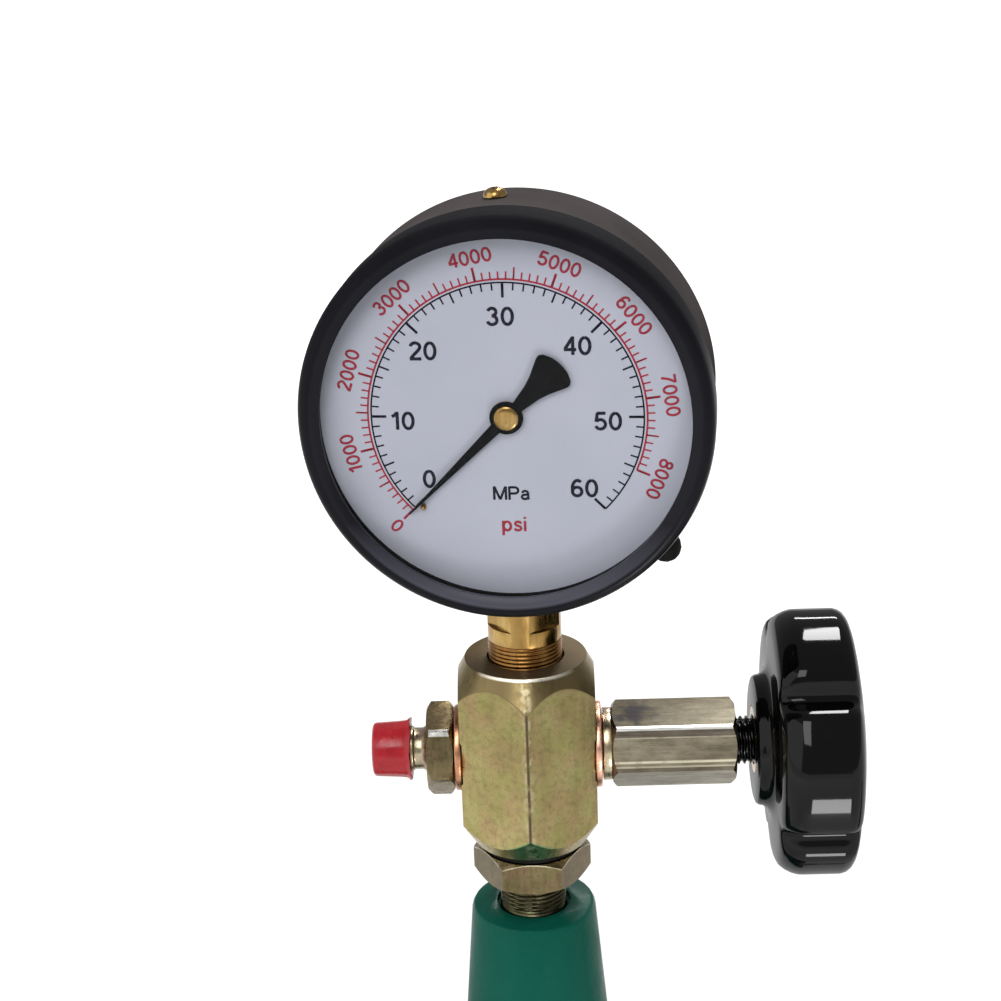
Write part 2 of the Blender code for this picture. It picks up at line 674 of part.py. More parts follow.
def pump_element():
    lower_bore = PLUNGER_RADIUS + PLUNGER_GAP
    barrel = turned("pump_barrel", [
        (lower_bore, BARREL_TOP),
        (BARREL_RADIUS, BARREL_TOP),
        (BARREL_RADIUS, CAVITY_TOP + BARREL_SHOULDER + SEAT_GAP),
        (BARREL_LOWER_RADIUS, CAVITY_TOP + BARREL_SHOULDER + SEAT_GAP),
        (BARREL_LOWER_RADIUS, CAVITY_TOP),
        (lower_bore, CAVITY_TOP),
    ], "steel")
    combine(barrel, cylinder("inlet_hole", INLET_RADIUS,
                             (-BARREL_RADIUS - OVERRUN, 0, TANK_FEED_HEIGHT),
                             (0, 0, TANK_FEED_HEIGHT), SMALL_STEPS))
    turned("plunger", [
        (0, PLUNGER_TOP),
        (PLUNGER_RADIUS, PLUNGER_TOP),
        (PLUNGER_RADIUS, PLUNGER_BOTTOM + PLUNGER_FOOT_HEIGHT),
        (PLUNGER_FOOT_RADIUS, PLUNGER_BOTTOM + PLUNGER_FOOT_HEIGHT),
        (PLUNGER_FOOT_RADIUS, PLUNGER_BOTTOM),
        (0, PLUNGER_BOTTOM),
    ], "steel")
    floor = TAPPET_BOTTOM + TAPPET_PAD_HEIGHT
    turned("tappet", [
        (0, TAPPET_SEAT),
        (TAPPET_RADIUS - TAPPET_WALL, TAPPET_SEAT),
        (TAPPET_RADIUS - TAPPET_WALL, TAPPET_SEAT + TAPPET_WALL_HEIGHT),
        (TAPPET_RADIUS, TAPPET_SEAT + TAPPET_WALL_HEIGHT),
        (TAPPET_RADIUS, floor),
        (TAPPET_PAD_RADIUS, floor),
        (TAPPET_PAD_RADIUS, TAPPET_BOTTOM),
        (0, TAPPET_BOTTOM),
    ], "steel")
    turned("spring_seat", [
        (BARREL_LOWER_RADIUS, SPRING_SEAT_BOTTOM + SPRING_SEAT_THICKNESS),
        (TAPPET_RADIUS, SPRING_SEAT_BOTTOM + SPRING_SEAT_THICKNESS),
        (TAPPET_RADIUS, SPRING_SEAT_BOTTOM),
        (BARREL_LOWER_RADIUS, SPRING_SEAT_BOTTOM),
    ], "steel")
    coil(
        "plunger_spring", SPRING_RADIUS, SPRING_WIRE, SPRING_TURNS,
        TAPPET_SEAT + SEAT_GAP, SPRING_SEAT_BOTTOM - SEAT_GAP, "steel")


def coil(name, radius, wire_radius, turns, bottom, top, look):
    """A compression spring between two seats."""
    points = helix(radius, bottom + wire_radius, top - wire_radius, turns, COIL_POINTS)
    pitch = (top - bottom - 2 * wire_radius) / turns
    print(name, "least gap between turns:", round(pitch - 2 * wire_radius, 5), "m")
    return wire(name, points, wire_radius, look)


def delivery_valve_set():
    turned("delivery_seat", [
        (VALVE_SEAT_BORE, VALVE_SEAT_BOTTOM + VALVE_SEAT_HEIGHT),
        (BARREL_RADIUS, VALVE_SEAT_BOTTOM + VALVE_SEAT_HEIGHT),
        (BARREL_RADIUS, VALVE_SEAT_BOTTOM),
        (VALVE_SEAT_BORE, VALVE_SEAT_BOTTOM),
    ], "steel", SMALL_STEPS)
    chamber_top = HOLDER_BOTTOM + CHAMBER_HEIGHT
    turned("valve_holder", [
        (OIL_BORE, HOLDER_TOP),
        (BARREL_RADIUS, HOLDER_TOP),
        (BARREL_RADIUS, HOLDER_BOTTOM),
        (CHAMBER_RADIUS, HOLDER_BOTTOM),
        (CHAMBER_RADIUS, chamber_top),
        (OIL_BORE, chamber_top),
    ], "steel", SMALL_STEPS)
    head_top = HOLDER_BOTTOM + DELIVERY_HEAD_HEIGHT
    turned("delivery_valve", [
        (0, head_top),
        (DELIVERY_HEAD_RADIUS - THREAD_GAP, head_top),
        (DELIVERY_HEAD_RADIUS, head_top - DELIVERY_HEAD_HEIGHT * ROUNDING_SHARE),
        (DELIVERY_HEAD_RADIUS, HOLDER_BOTTOM),
        (DELIVERY_STEM_RADIUS, HOLDER_BOTTOM),
        (DELIVERY_STEM_RADIUS, VALVE_SEAT_BOTTOM),
        (0, VALVE_SEAT_BOTTOM),
    ], "steel", SMALL_STEPS)
    coil(
        "delivery_spring", DELIVERY_SPRING_RADIUS, DELIVERY_SPRING_WIRE,
        DELIVERY_SPRING_TURNS, head_top + SEAT_GAP, chamber_top - SEAT_GAP, "steel")


def hand_lever():
    axis = bpy.data.objects.new("lever_axis", None)
    PIECES.objects.link(axis)
    axis.location = (PIVOT_X, 0, PIVOT_HEIGHT)
    axis.rotation_euler = (0, -LEVER_REST_ANGLE, 0)
    upright = (math.pi / 2, 0, 0)

    lever = cylinder("hand_lever", HUB_RADIUS, (0, HUB_WIDTH / 2, 0), (0, -HUB_WIDTH / 2, 0),
                     ROUND_STEPS, "steel", axis)
    heading = math.pi + NOSE_DIP - LEVER_REST_ANGLE
    forward = Vector((math.cos(heading), math.sin(heading)))
    upward = Vector((forward.y, -forward.x))
    nose = forward * NOSE_REACH
    neck = forward * (NOSE_REACH - NOSE_NECK_SHARE * NOSE_RADIUS)
    inside_hub = HUB_RADIUS * HUB_OVERLAP_SHARE
    pad_half_arc = NOSE_HALF_ARC
    outline = arc((SOCKET_START, 0), ARM_END_RADIUS, -math.pi / 2, math.pi / 2, 8)
    outline += arc((0, 0), inside_hub, math.pi / 2, heading - HUB_GAP_ANGLE, 2)
    outline.append(tuple(neck + upward * NOSE_NECK))
    outline += arc(nose, NOSE_RADIUS, heading - pad_half_arc, heading + pad_half_arc, SMALL_STEPS)
    outline.append(tuple(neck - upward * NOSE_NECK))
    outline += arc((0, 0), inside_hub, heading + HUB_GAP_ANGLE, 3 * math.pi / 2, 2)
    combine(lever, plate("lever_side_shape", outline, ARM_THICKNESS, turn=upright, parent=axis),
            "UNION")
    socket_end = SOCKET_START + SOCKET_LENGTH
    combine(lever, cylinder("lever_socket_shape", SOCKET_RADIUS, (SOCKET_START, 0, 0),
                            (socket_end, 0, 0), ROUND_STEPS, parent=axis), "UNION")
    reach = HUB_WIDTH / 2 + OVERRUN
    combine(lever, cylinder("lever_pin_hole", PIN_RADIUS + SEAT_GAP, (0, -reach, 0),
                            (0, reach, 0), parent=axis))
    socket_floor = socket_end - SOCKET_DEPTH
    combine(lever, cylinder("lever_rod_hole", ROD_RADIUS + SEAT_GAP, (socket_floor, 0, 0),
                            (socket_end + OVERRUN, 0, 0), ROUND_STEPS, parent=axis))

    rod_start = socket_floor + SEAT_GAP
    rod_end = rod_start + ROD_LENGTH
    cylinder("handle_rod", ROD_RADIUS, (rod_start, 0, 0), (rod_end, 0, 0), ROUND_STEPS, "steel", axis)
    grip_end = rod_end + SEAT_GAP + GRIP_END_WALL
    grip_start = grip_end - GRIP_LENGTH
    profile = [(0, grip_end), (GRIP_RADIUS - GRIP_END_WALL / 2, grip_end)]
    profile.append((GRIP_RADIUS, grip_end - GRIP_END_WALL / 2))
    ridge_pitch = (GRIP_LENGTH - GRIP_END_WALL) / (GRIP_RIDGE_COUNT + 1)
    for index in range(GRIP_RIDGE_COUNT):
        middle = grip_end - GRIP_END_WALL / 2 - ridge_pitch * (index + 1)
        profile.append((GRIP_RADIUS, middle + ridge_pitch / 4))
        profile.append((GRIP_RADIUS - GRIP_RIDGE, middle))
        profile.append((GRIP_RADIUS, middle - ridge_pitch / 4))
    profile += [
        (GRIP_RADIUS, grip_start + GRIP_RIDGE),
        (GRIP_RADIUS - GRIP_RIDGE, grip_start),
        (ROD_RADIUS + SEAT_GAP, grip_start),
        (ROD_RADIUS + SEAT_GAP, rod_end + SEAT_GAP),
        (0, rod_end + SEAT_GAP),
    ]
    turned("hand_grip", profile, "rubber", 16, turn=(0, math.pi / 2, 0), parent=axis)

    pin_half = LUG_FACE + SEAT_GAP + CLIP_THICKNESS + PIN_END
    cylinder("lever_pivot_pin", PIN_RADIUS, (PIVOT_X, -pin_half, PIVOT_HEIGHT),
             (PIVOT_X, pin_half, PIVOT_HEIGHT), SMALL_STEPS, "steel")
    for name, turn_x in (("pin_clip_front", math.pi / 2), ("pin_clip_rear", -math.pi / 2)):
        clip_start = LUG_FACE + SEAT_GAP
        turned(name, [
            (PIN_RADIUS + SEAT_GAP, clip_start + CLIP_THICKNESS),
            (CLIP_RADIUS, clip_start + CLIP_THICKNESS),
            (CLIP_RADIUS, clip_start),
            (PIN_RADIUS + SEAT_GAP, clip_start),
        ], "steel", SMALL_STEPS, (PIVOT_X, 0, PIVOT_HEIGHT), (turn_x, 0, 0))


def pressure_block():
    ring = chamfered_hexagon(
        "lock_nut", NUT_FLATS, NUT_BOTTOM, NUT_BOTTOM + NUT_HEIGHT,
        (NUT_FLATS / 2, NUT_FLATS / 2), (NUT_CHAMFER, NUT_CHAMFER), 0, "zinc_yellow")
    combine(ring, cylinder("nut_hole", STUD_RADIUS + THREAD_GAP,
                           (0, 0, NUT_BOTTOM - OVERRUN),
                           (0, 0, NUT_BOTTOM + NUT_HEIGHT + OVERRUN), ROUND_STEPS))
    turned("block_seal", [
        (STUD_RADIUS + THREAD_GAP, SEAL_BOTTOM + SEAL_THICKNESS),
        (SEAL_RADIUS, SEAL_BOTTOM + SEAL_THICKNESS),
        (SEAL_RADIUS, SEAL_BOTTOM),
        (STUD_RADIUS + THREAD_GAP, SEAL_BOTTOM),
    ], "rubber")

    block = chamfered_hexagon(
        "pressure_block", BLOCK_FLATS, BLOCK_BOTTOM, BLOCK_TOP,
        (BLOCK_BOTTOM_RADIUS, BLOCK_TOP_RADIUS), (BLOCK_BOTTOM_CHAMFER, BLOCK_TOP_CHAMFER),
        math.pi / 2, "zinc_yellow")
    stud = turned("stud_shape", [
        (0, PORT_HEIGHT),
        (STUD_RADIUS, PORT_HEIGHT),
        (STUD_RADIUS, STUD_BOTTOM + SEAT_GAP),
        (STUD_RADIUS - SEAT_GAP, STUD_BOTTOM),
        (0, STUD_BOTTOM),
    ])
    combine(block, stud, "UNION")
    socket_floor = BLOCK_TOP - GAUGE_PORT_DEPTH
    combine(block, turned("gauge_port", [
        (0, BLOCK_TOP + OVERRUN),
        (STEM_RADIUS + THREAD_GAP, BLOCK_TOP + OVERRUN),
        (STEM_RADIUS + THREAD_GAP, socket_floor),
        (OIL_BORE, socket_floor),
        (OIL_BORE, STUD_BOTTOM - OVERRUN),
        (0, STUD_BOTTOM - OVERRUN),
    ]))
    face = BLOCK_FLATS / 2
    port_floor = face - SIDE_PORT_DEPTH
    for name, turn_y in (("left_port", -math.pi / 2), ("right_port", math.pi / 2)):
        combine(block, turned(name, [
            (0, face + OVERRUN),
            (SPOT_FACE_RADIUS, face + OVERRUN),
            (SPOT_FACE_RADIUS, face - SPOT_FACE_DEPTH),
            (SPIGOT_RADIUS + THREAD_GAP, face - SPOT_FACE_DEPTH),
            (SPIGOT_RADIUS + THREAD_GAP, port_floor),
            (OUTLET_BORE, port_floor),
            (OUTLET_BORE, 0),
            (0, 0),
        ], place=(0, 0, PORT_HEIGHT), turn=(0, turn_y, 0)))


def side_washer(name, turn):
    turned(name, [
        (SPIGOT_RADIUS + THREAD_GAP, WASHER_START + WASHER_THICKNESS),
        (WASHER_RADIUS, WASHER_START + WASHER_THICKNESS),
        (WASHER_RADIUS, WASHER_START),
        (SPIGOT_RADIUS + THREAD_GAP, WASHER_START),
    ], "copper", ROUND_STEPS, (0, 0, PORT_HEIGHT), turn)


def capped_outlet():
    place = (0, 0, PORT_HEIGHT)
    turn = (0, -math.pi / 2, 0)
    side_washer("outlet_washer", turn)
    hex_end = FITTING_START + OUTLET_HEX_LENGTH
    corner = SIDE_HEX_TURN - math.pi / 2
    connector = chamfered_hexagon(
        "outlet_connector", OUTLET_FLATS, FITTING_START, hex_end,
        (OUTLET_FLATS / 2, OUTLET_FLATS / 2), (OUTLET_CHAMFER, OUTLET_CHAMFER), corner,
        "zinc_yellow", place, turn)
    neck_end = hex_end + OUTLET_NECK_LENGTH
    thread_end = neck_end + OUTLET_THREAD_LENGTH
    core = turned("outlet_core", [
        (0, thread_end),
        (OUTLET_THREAD_RADIUS - CAP_TAPER, thread_end),
        (OUTLET_THREAD_RADIUS, thread_end - CAP_TAPER),
        (OUTLET_THREAD_RADIUS, neck_end),
        (OUTLET_NECK_RADIUS, neck_end),
        (OUTLET_NECK_RADIUS, hex_end - OUTLET_CHAMFER),
        (SPIGOT_RADIUS, hex_end - 2 * OUTLET_CHAMFER),
        (SPIGOT_RADIUS, SPIGOT_START),
        (0, SPIGOT_START),
    ], None, ROUND_STEPS, place, turn)
    combine(connector, core, "UNION")
    combine(connector, turned("outlet_bore", [
        (0, thread_end + OVERRUN),
        (OUTLET_SEAT_RADIUS + OVERRUN, thread_end + OVERRUN),
        (OUTLET_BORE, thread_end - OUTLET_SEAT_RADIUS + OUTLET_BORE),
        (OUTLET_BORE, SPIGOT_START - OVERRUN),
        (0, SPIGOT_START - OVERRUN),
    ], None, SMALL_STEPS, place, turn))
    inside_end = thread_end + SEAT_GAP
    cap_end = inside_end + CAP_WALL
    cap_start = cap_end - CAP_LENGTH
    inner = OUTLET_THREAD_RADIUS + SEAT_GAP
    turned("outlet_cap", [
        (0, cap_end),
        (inner, cap_end),
        (inner + CAP_WALL - CAP_TAPER / 2, cap_end - CAP_WALL),
        (inner + CAP_WALL + CAP_TAPER, cap_start + CAP_FLARE_SHARE * CAP_LIP_THICKNESS),
        (CAP_LIP_RADIUS, cap_start + CAP_LIP_THICKNESS),
        (CAP_LIP_RADIUS, cap_start),
        (inner, cap_start),
        (inner, inside_end),
        (0, inside_end),
    ], "red_plastic", ROUND_STEPS, place, turn)


def shut_off_valve():
    place = (0, 0, PORT_HEIGHT)
    turn = (0, math.pi / 2, 0)
    side_washer("valve_washer", turn)
    hex_start = FITTING_START + COLLAR_LENGTH
    hex_end = hex_start + VALVE_HEX_LENGTH
    corner = -SIDE_HEX_TURN - math.pi / 2
    housing = chamfered_hexagon(
        "valve_housing", VALVE_FLATS, hex_start, hex_end,
        (VALVE_FLATS / 2, VALVE_FLATS / 2), (VALVE_CHAMFER, VALVE_CHAMFER), corner,
        "zinc_grey", place, turn)
    combine(housing, turned("valve_collar", [
        (0, hex_start + COLLAR_LENGTH),
        (COLLAR_RADIUS, hex_start + COLLAR_LENGTH),
        (COLLAR_RADIUS, FITTING_START),
        (SPIGOT_RADIUS, FITTING_START),
        (SPIGOT_RADIUS, SPIGOT_START),
        (0, SPIGOT_START),
    ], None, ROUND_STEPS, place, turn), "UNION")
    tip = SPIGOT_START + NEEDLE_TIP
    needle_end = tip + NEEDLE_LENGTH
    spindle_start = needle_end + NEEDLE_HEAD_LENGTH + SEAT_GAP
    needle_bore = NEEDLE_RADIUS + SEAT_GAP
    combine(housing, turned("valve_bore", [
        (0, hex_end + OVERRUN),
        (SPINDLE_RADIUS + THREAD_GAP, hex_end + OVERRUN),
        (SPINDLE_RADIUS + THREAD_GAP, needle_end - SEAT_GAP),
        (needle_bore, needle_end - SEAT_GAP),
        (needle_bore, tip + NEEDLE_TIP),
        (OUTLET_BORE, tip),
        (OUTLET_BORE, SPIGOT_START - OVERRUN),
        (0, SPIGOT_START - OVERRUN),
    ], None, ROUND_STEPS, place, turn))
    turned("valve_needle", [
        (0, needle_end + NEEDLE_HEAD_LENGTH),
        (NEEDLE_HEAD_RADIUS, needle_end + NEEDLE_HEAD_LENGTH),
        (NEEDLE_HEAD_RADIUS, needle_end),
        (NEEDLE_RADIUS, needle_end),
        (NEEDLE_RADIUS, tip + NEEDLE_TIP + SEAT_GAP),
        (SEAT_GAP, tip + SEAT_GAP),
        (0, tip + SEAT_GAP),
    ], "steel", SMALL_STEPS, place, turn)
    knob_start = hex_end + SPINDLE_SHOWN
    spindle_end = knob_start + SPINDLE_IN_KNOB
    turned("valve_spindle", [
        (0, spindle_end),
        (SPINDLE_RADIUS, spindle_end),
        (SPINDLE_RADIUS, spindle_start),
        (0, spindle_start),
    ], "black_steel", ROUND_STEPS, place, turn)
    insert_inner = SPINDLE_RADIUS + SEAT_GAP
    insert_outer = insert_inner + INSERT_WALL
    turned("knob_insert", [
        (insert_inner, spindle_end),
        (insert_outer, spindle_end),
        (insert_outer, knob_start),
        (insert_inner, knob_start),
    ], "brass", ROUND_STEPS, place, turn)

    rim_start = knob_start + KNOB_HUB_LENGTH
    rim_end = rim_start + KNOB_RIM
    outline = []
    for index in range(KNOB_POINTS * KNOB_LOBES):
        angle = 2 * math.pi * index / (KNOB_POINTS * KNOB_LOBES)
        valley = ((1 + math.cos(KNOB_LOBES * (angle - corner))) / 2) ** KNOB_VALLEY_SHARPNESS
        radius = KNOB_RADIUS - KNOB_VALLEY_DEPTH * valley
        outline.append((radius * math.cos(angle), radius * math.sin(angle)))
    height = rim_end + KNOB_DOME + OVERRUN - knob_start
    middle = knob_start + height / 2
    knob = plate("star_knob", outline, height, "knob_black", turn=turn,
                 place=(middle, 0, PORT_HEIGHT))
    edge_radius = KNOB_RADIUS + MERGE
    profile = [(0, rim_end + KNOB_DOME)]
    for index in range(1, 4):
        share = index / 3
        profile.append(((KNOB_RADIUS - KNOB_EDGE) * share,
                        rim_end + KNOB_DOME * (1 - share ** 2)))
    profile += [
        (KNOB_RADIUS - KNOB_EDGE * ROUNDING_SHARE, rim_end - KNOB_EDGE / 2),
        (edge_radius, rim_end - KNOB_SHOULDER_SHARE * KNOB_EDGE),
        (edge_radius, rim_start + KNOB_EDGE),
        (KNOB_RADIUS - KNOB_EDGE * ROUNDING_SHARE, rim_start + KNOB_EDGE * ROUNDING_SHARE),
        (KNOB_RADIUS - KNOB_EDGE, rim_start),
        (KNOB_HUB_RADIUS + KNOB_EDGE, rim_start),
        (KNOB_HUB_RADIUS, rim_start - KNOB_EDGE / 2),
        (KNOB_HUB_RADIUS, knob_start + KNOB_EDGE * ROUNDING_SHARE),
        (KNOB_HUB_RADIUS - KNOB_EDGE * ROUNDING_SHARE, knob_start),
        (0, knob_start),
    ]
    combine(knob, turned("knob_envelope", profile, None, FINE_STEPS, place, turn), "INTERSECT")
    combine(knob, turned("knob_bore", [
        (0, spindle_end + SEAT_GAP),
        (insert_outer + SEAT_GAP, spindle_end + SEAT_GAP),
        (insert_outer + SEAT_GAP, knob_start - OVERRUN),
        (0, knob_start - OVERRUN),
    ], None, ROUND_STEPS, place, turn))


def gauge_housing(frame, forward):
    inner = CASE_RADIUS - CASE_WALL
    case = turned("gauge_case", [
        (CASE_RADIUS - CASE_RIM_WIDTH, CASE_FRONT),
        (CASE_RADIUS, CASE_FRONT),
        (CASE_RADIUS, CASE_EDGE - CASE_BACK),
        (CASE_RADIUS - CASE_EDGE * ROUNDING_SHARE, CASE_EDGE * ROUNDING_SHARE - CASE_BACK),
        (CASE_RADIUS - CASE_EDGE, -CASE_BACK),
        (0, -CASE_BACK),
        (0, CASE_BACK_WALL - CASE_BACK),
        (inner, CASE_BACK_WALL - CASE_BACK),
        (inner, CASE_FRONT - CASE_WALL),
        (CASE_RADIUS - CASE_RIM_WIDTH, CASE_FRONT - CASE_WALL),
    ], "case_black", FINE_STEPS, turn=forward, parent=frame)
    combine(case, cylinder("stem_hole", STEM_RADIUS + SEAT_GAP,
                           (0, 0, -CASE_RADIUS - OVERRUN),
                           (0, 0, -CASE_RADIUS + SOCKET_BLOCK_HEIGHT), ROUND_STEPS,
                           parent=frame))
    skirt_inner = CASE_RADIUS + SEAT_GAP
    pocket = CASE_RADIUS - 2 * MERGE - CASE_WALL
    crown = CASE_FRONT + BEZEL_CROWN
    turned("gauge_bezel", [
        (OPENING_RADIUS, LIP_PLACE + BEZEL_LIP),
        (OPENING_RADIUS + BEZEL_LIP, crown),
        (OPENING_RADIUS + 2 * BEZEL_LIP, crown),
        (BEZEL_RADIUS - BEZEL_CROWN_SHARE * BEZEL_LIP, crown - BEZEL_LIP),
        (BEZEL_RADIUS, crown - BEZEL_SHOULDER_SHARE * BEZEL_LIP),
        (BEZEL_RADIUS, DIAL_PLACE - BEZEL_SKIRT),
        (skirt_inner, DIAL_PLACE - BEZEL_SKIRT),
        (skirt_inner, DIAL_PLACE),
        (pocket, DIAL_PLACE),
        (pocket, LIP_PLACE),
        (OPENING_RADIUS, LIP_PLACE),
    ], "bezel_black", FINE_STEPS, turn=forward, parent=frame)
    glass_radius = pocket - GLASS_FIT
    turned("gauge_glass", [
        (0, GLASS_FACE),
        (glass_radius, GLASS_FACE),
        (glass_radius, GLASS_PLACE),
        (0, GLASS_PLACE),
    ], "glass", FINE_STEPS, turn=forward, parent=frame)
    turned("glass_gasket", [
        (glass_radius - GASKET_WIDTH, GASKET_PLACE + GASKET_THICKNESS),
        (glass_radius, GASKET_PLACE + GASKET_THICKNESS),
        (glass_radius, GASKET_PLACE),
        (glass_radius - GASKET_WIDTH, GASKET_PLACE),
    ], "rubber", FINE_STEPS, turn=forward, parent=frame)
    dial = turned("gauge_dial", [
        (ARBOR_RADIUS + SEAT_GAP, DIAL_FACE),
        (glass_radius, DIAL_FACE),
        (glass_radius, DIAL_PLACE),
        (ARBOR_RADIUS + SEAT_GAP, DIAL_PLACE),
    ], "dial_white", FINE_STEPS, turn=forward, parent=frame)
    pin_x = STOP_PIN_REACH * math.cos(STOP_PIN_ANGLE)
    pin_z = STOP_PIN_REACH * math.sin(STOP_PIN_ANGLE)
    combine(dial, cylinder("stop_pin_hole", STOP_PIN_RADIUS + SEAT_GAP,
                           (pin_x, -DIAL_PLACE + OVERRUN, pin_z),
                           (pin_x, -DIAL_FACE - OVERRUN, pin_z), SMALL_STEPS, parent=frame))
    cylinder("stop_pin", STOP_PIN_RADIUS, (pin_x, -DIAL_PLACE, pin_z),
             (pin_x, -DIAL_FACE - STOP_PIN_HEIGHT, pin_z), SMALL_STEPS, "brass", frame)

    for index, angle in enumerate(SCREW_ANGLES):
        spoke = (0, math.pi / 2 - angle, 0)
        place = (0, -SCREW_PLACE, 0)
        combine(case, turned("screw_hole_%d" % index, [
            (0, CASE_RADIUS + OVERRUN),
            (SCREW_SHANK_RADIUS + SEAT_GAP, CASE_RADIUS + OVERRUN),
            (SCREW_SHANK_RADIUS + SEAT_GAP, inner - OVERRUN),
            (0, inner - OVERRUN),
        ], None, SMALL_STEPS, place, spoke, frame))
        seat = CASE_RADIUS + SEAT_GAP
        turned("case_screw_%d" % (index + 1), [
            (0, seat + SCREW_HEAD_HEIGHT),
            (SCREW_HEAD_RADIUS * CROWN_RADIUS_SHARE, seat + SCREW_HEAD_HEIGHT * CROWN_HEIGHT_SHARE),
            (SCREW_HEAD_RADIUS, seat + SCREW_HEAD_HEIGHT * ROUNDING_SHARE),
            (SCREW_HEAD_RADIUS, seat),
            (SCREW_SHANK_RADIUS, seat),
            (SCREW_SHANK_RADIUS, seat - SCREW_LENGTH),
            (0, seat - SCREW_LENGTH),
        ], "brass", SMALL_STEPS, place, spoke, frame)

    spoke = (0, math.pi / 2 - PLUG_ANGLE, 0)
    place = (0, -PLUG_PLACE, 0)
    combine(case, turned("plug_hole", [
        (0, CASE_RADIUS + OVERRUN),
        (PLUG_SHANK_RADIUS + SEAT_GAP, CASE_RADIUS + OVERRUN),
        (PLUG_SHANK_RADIUS + SEAT_GAP, inner - OVERRUN),
        (0, inner - OVERRUN),
    ], None, SMALL_STEPS, place, spoke, frame))
    profile = [(0, CASE_RADIUS + SEAT_GAP + PLUG_STANDS)]
    for index in range(1, 5):
        angle = math.pi / 2 * index / 4
        profile.append((PLUG_RADIUS * math.sin(angle),
                        CASE_RADIUS + 2 * SEAT_GAP + PLUG_STANDS * math.cos(angle)))
    profile += [
        (PLUG_SHANK_RADIUS, CASE_RADIUS + 2 * SEAT_GAP),
        (PLUG_SHANK_RADIUS, CASE_RADIUS - PLUG_SHANK_LENGTH),
        (0, CASE_RADIUS - PLUG_SHANK_LENGTH),
    ]
    turned("vent_plug", profile, "rubber", SMALL_STEPS, place, spoke, frame)


def gauge_stem(frame):
    """The stem, with its thread, spanner flats and the block inside the case."""
    port_floor = BLOCK_TOP - GAUGE_PORT_DEPTH
    washer_top = port_floor + SEAT_GAP + SEAL_WASHER_THICKNESS
    turned("stem_washer", [
        (OIL_BORE, washer_top),
        (SEAL_WASHER_RADIUS, washer_top),
        (SEAL_WASHER_RADIUS, port_floor + SEAT_GAP),
        (OIL_BORE, port_floor + SEAT_GAP),
    ], "copper", ROUND_STEPS)
    bottom = washer_top + SEAT_GAP - GAUGE_HEIGHT
    block_low = -math.sqrt((CASE_RADIUS - CASE_WALL - SEAT_GAP) ** 2
                           - (SOCKET_BLOCK_WIDTH / 2) ** 2)
    block_top = block_low + SOCKET_BLOCK_HEIGHT
    stem = turned("gauge_stem", [
        (0, block_low + SEAT_GAP),
        (STEM_RADIUS, block_low + SEAT_GAP),
        (STEM_RADIUS, bottom + SEAT_GAP),
        (STEM_RADIUS - SEAT_GAP, bottom),
        (0, bottom),
    ], "brass", ROUND_STEPS, parent=frame)
    flats_low = BLOCK_TOP + STEM_THREAD - GAUGE_HEIGHT
    flats_high = flats_low + STEM_FLAT_HEIGHT
    for quarter in range(4):
        angle = math.pi / 4 + quarter * math.pi / 2
        far = STEM_RADIUS + OVERRUN
        cutter = box("stem_flat_%d" % quarter, (STEM_FLATS / 2, -far, flats_low),
                     (far, far, flats_high), parent=frame)
        turn_round_axis(cutter, angle)
        combine(stem, cutter)
    half_width = SOCKET_BLOCK_WIDTH / 2
    half_depth = SOCKET_BLOCK_DEPTH / 2
    combine(stem, box("socket_block_shape", (-half_width, -half_depth, block_low),
                      (half_width, half_depth, block_top), parent=frame), "UNION")
    combine(stem, cylinder("stem_bore", OIL_BORE, (0, 0, bottom - OVERRUN),
                           (0, 0, block_low + SOCKET_BLOCK_HEIGHT / 2), SMALL_STEPS, parent=frame))


def turn_round_axis(piece, angle):
    """Turns a piece about the Z axis of its parent."""
    piece.location = Matrix.Rotation(angle, 3, "Z") @ piece.location
    piece.rotation_euler = (0, 0, angle)


def tooth_row(radius, count, first_angle):
    """Outline points of gear teeth on a pitch circle, from first_angle on."""
    pitch_angle = TOOTH_MODULE * math.pi / radius
    root = radius - TOOTH_ROOT_SHARE * TOOTH_MODULE
    tip = radius + TOOTH_HEIGHT_SHARE * TOOTH_MODULE
    foot = pitch_angle * TOOTH_FOOT_SHARE
    top = pitch_angle * TOOTH_TOP_SHARE
    points = []
    for index in range(count):
        middle = first_angle + index * pitch_angle
        for reach, lean in ((root, -foot), (tip, -top), (tip, top), (root, foot)):
            points.append((reach * math.cos(middle + lean), reach * math.sin(middle + lean)))
    return points


def polar(radius, angle):
    return Vector((radius * math.cos(angle), radius * math.sin(angle)))


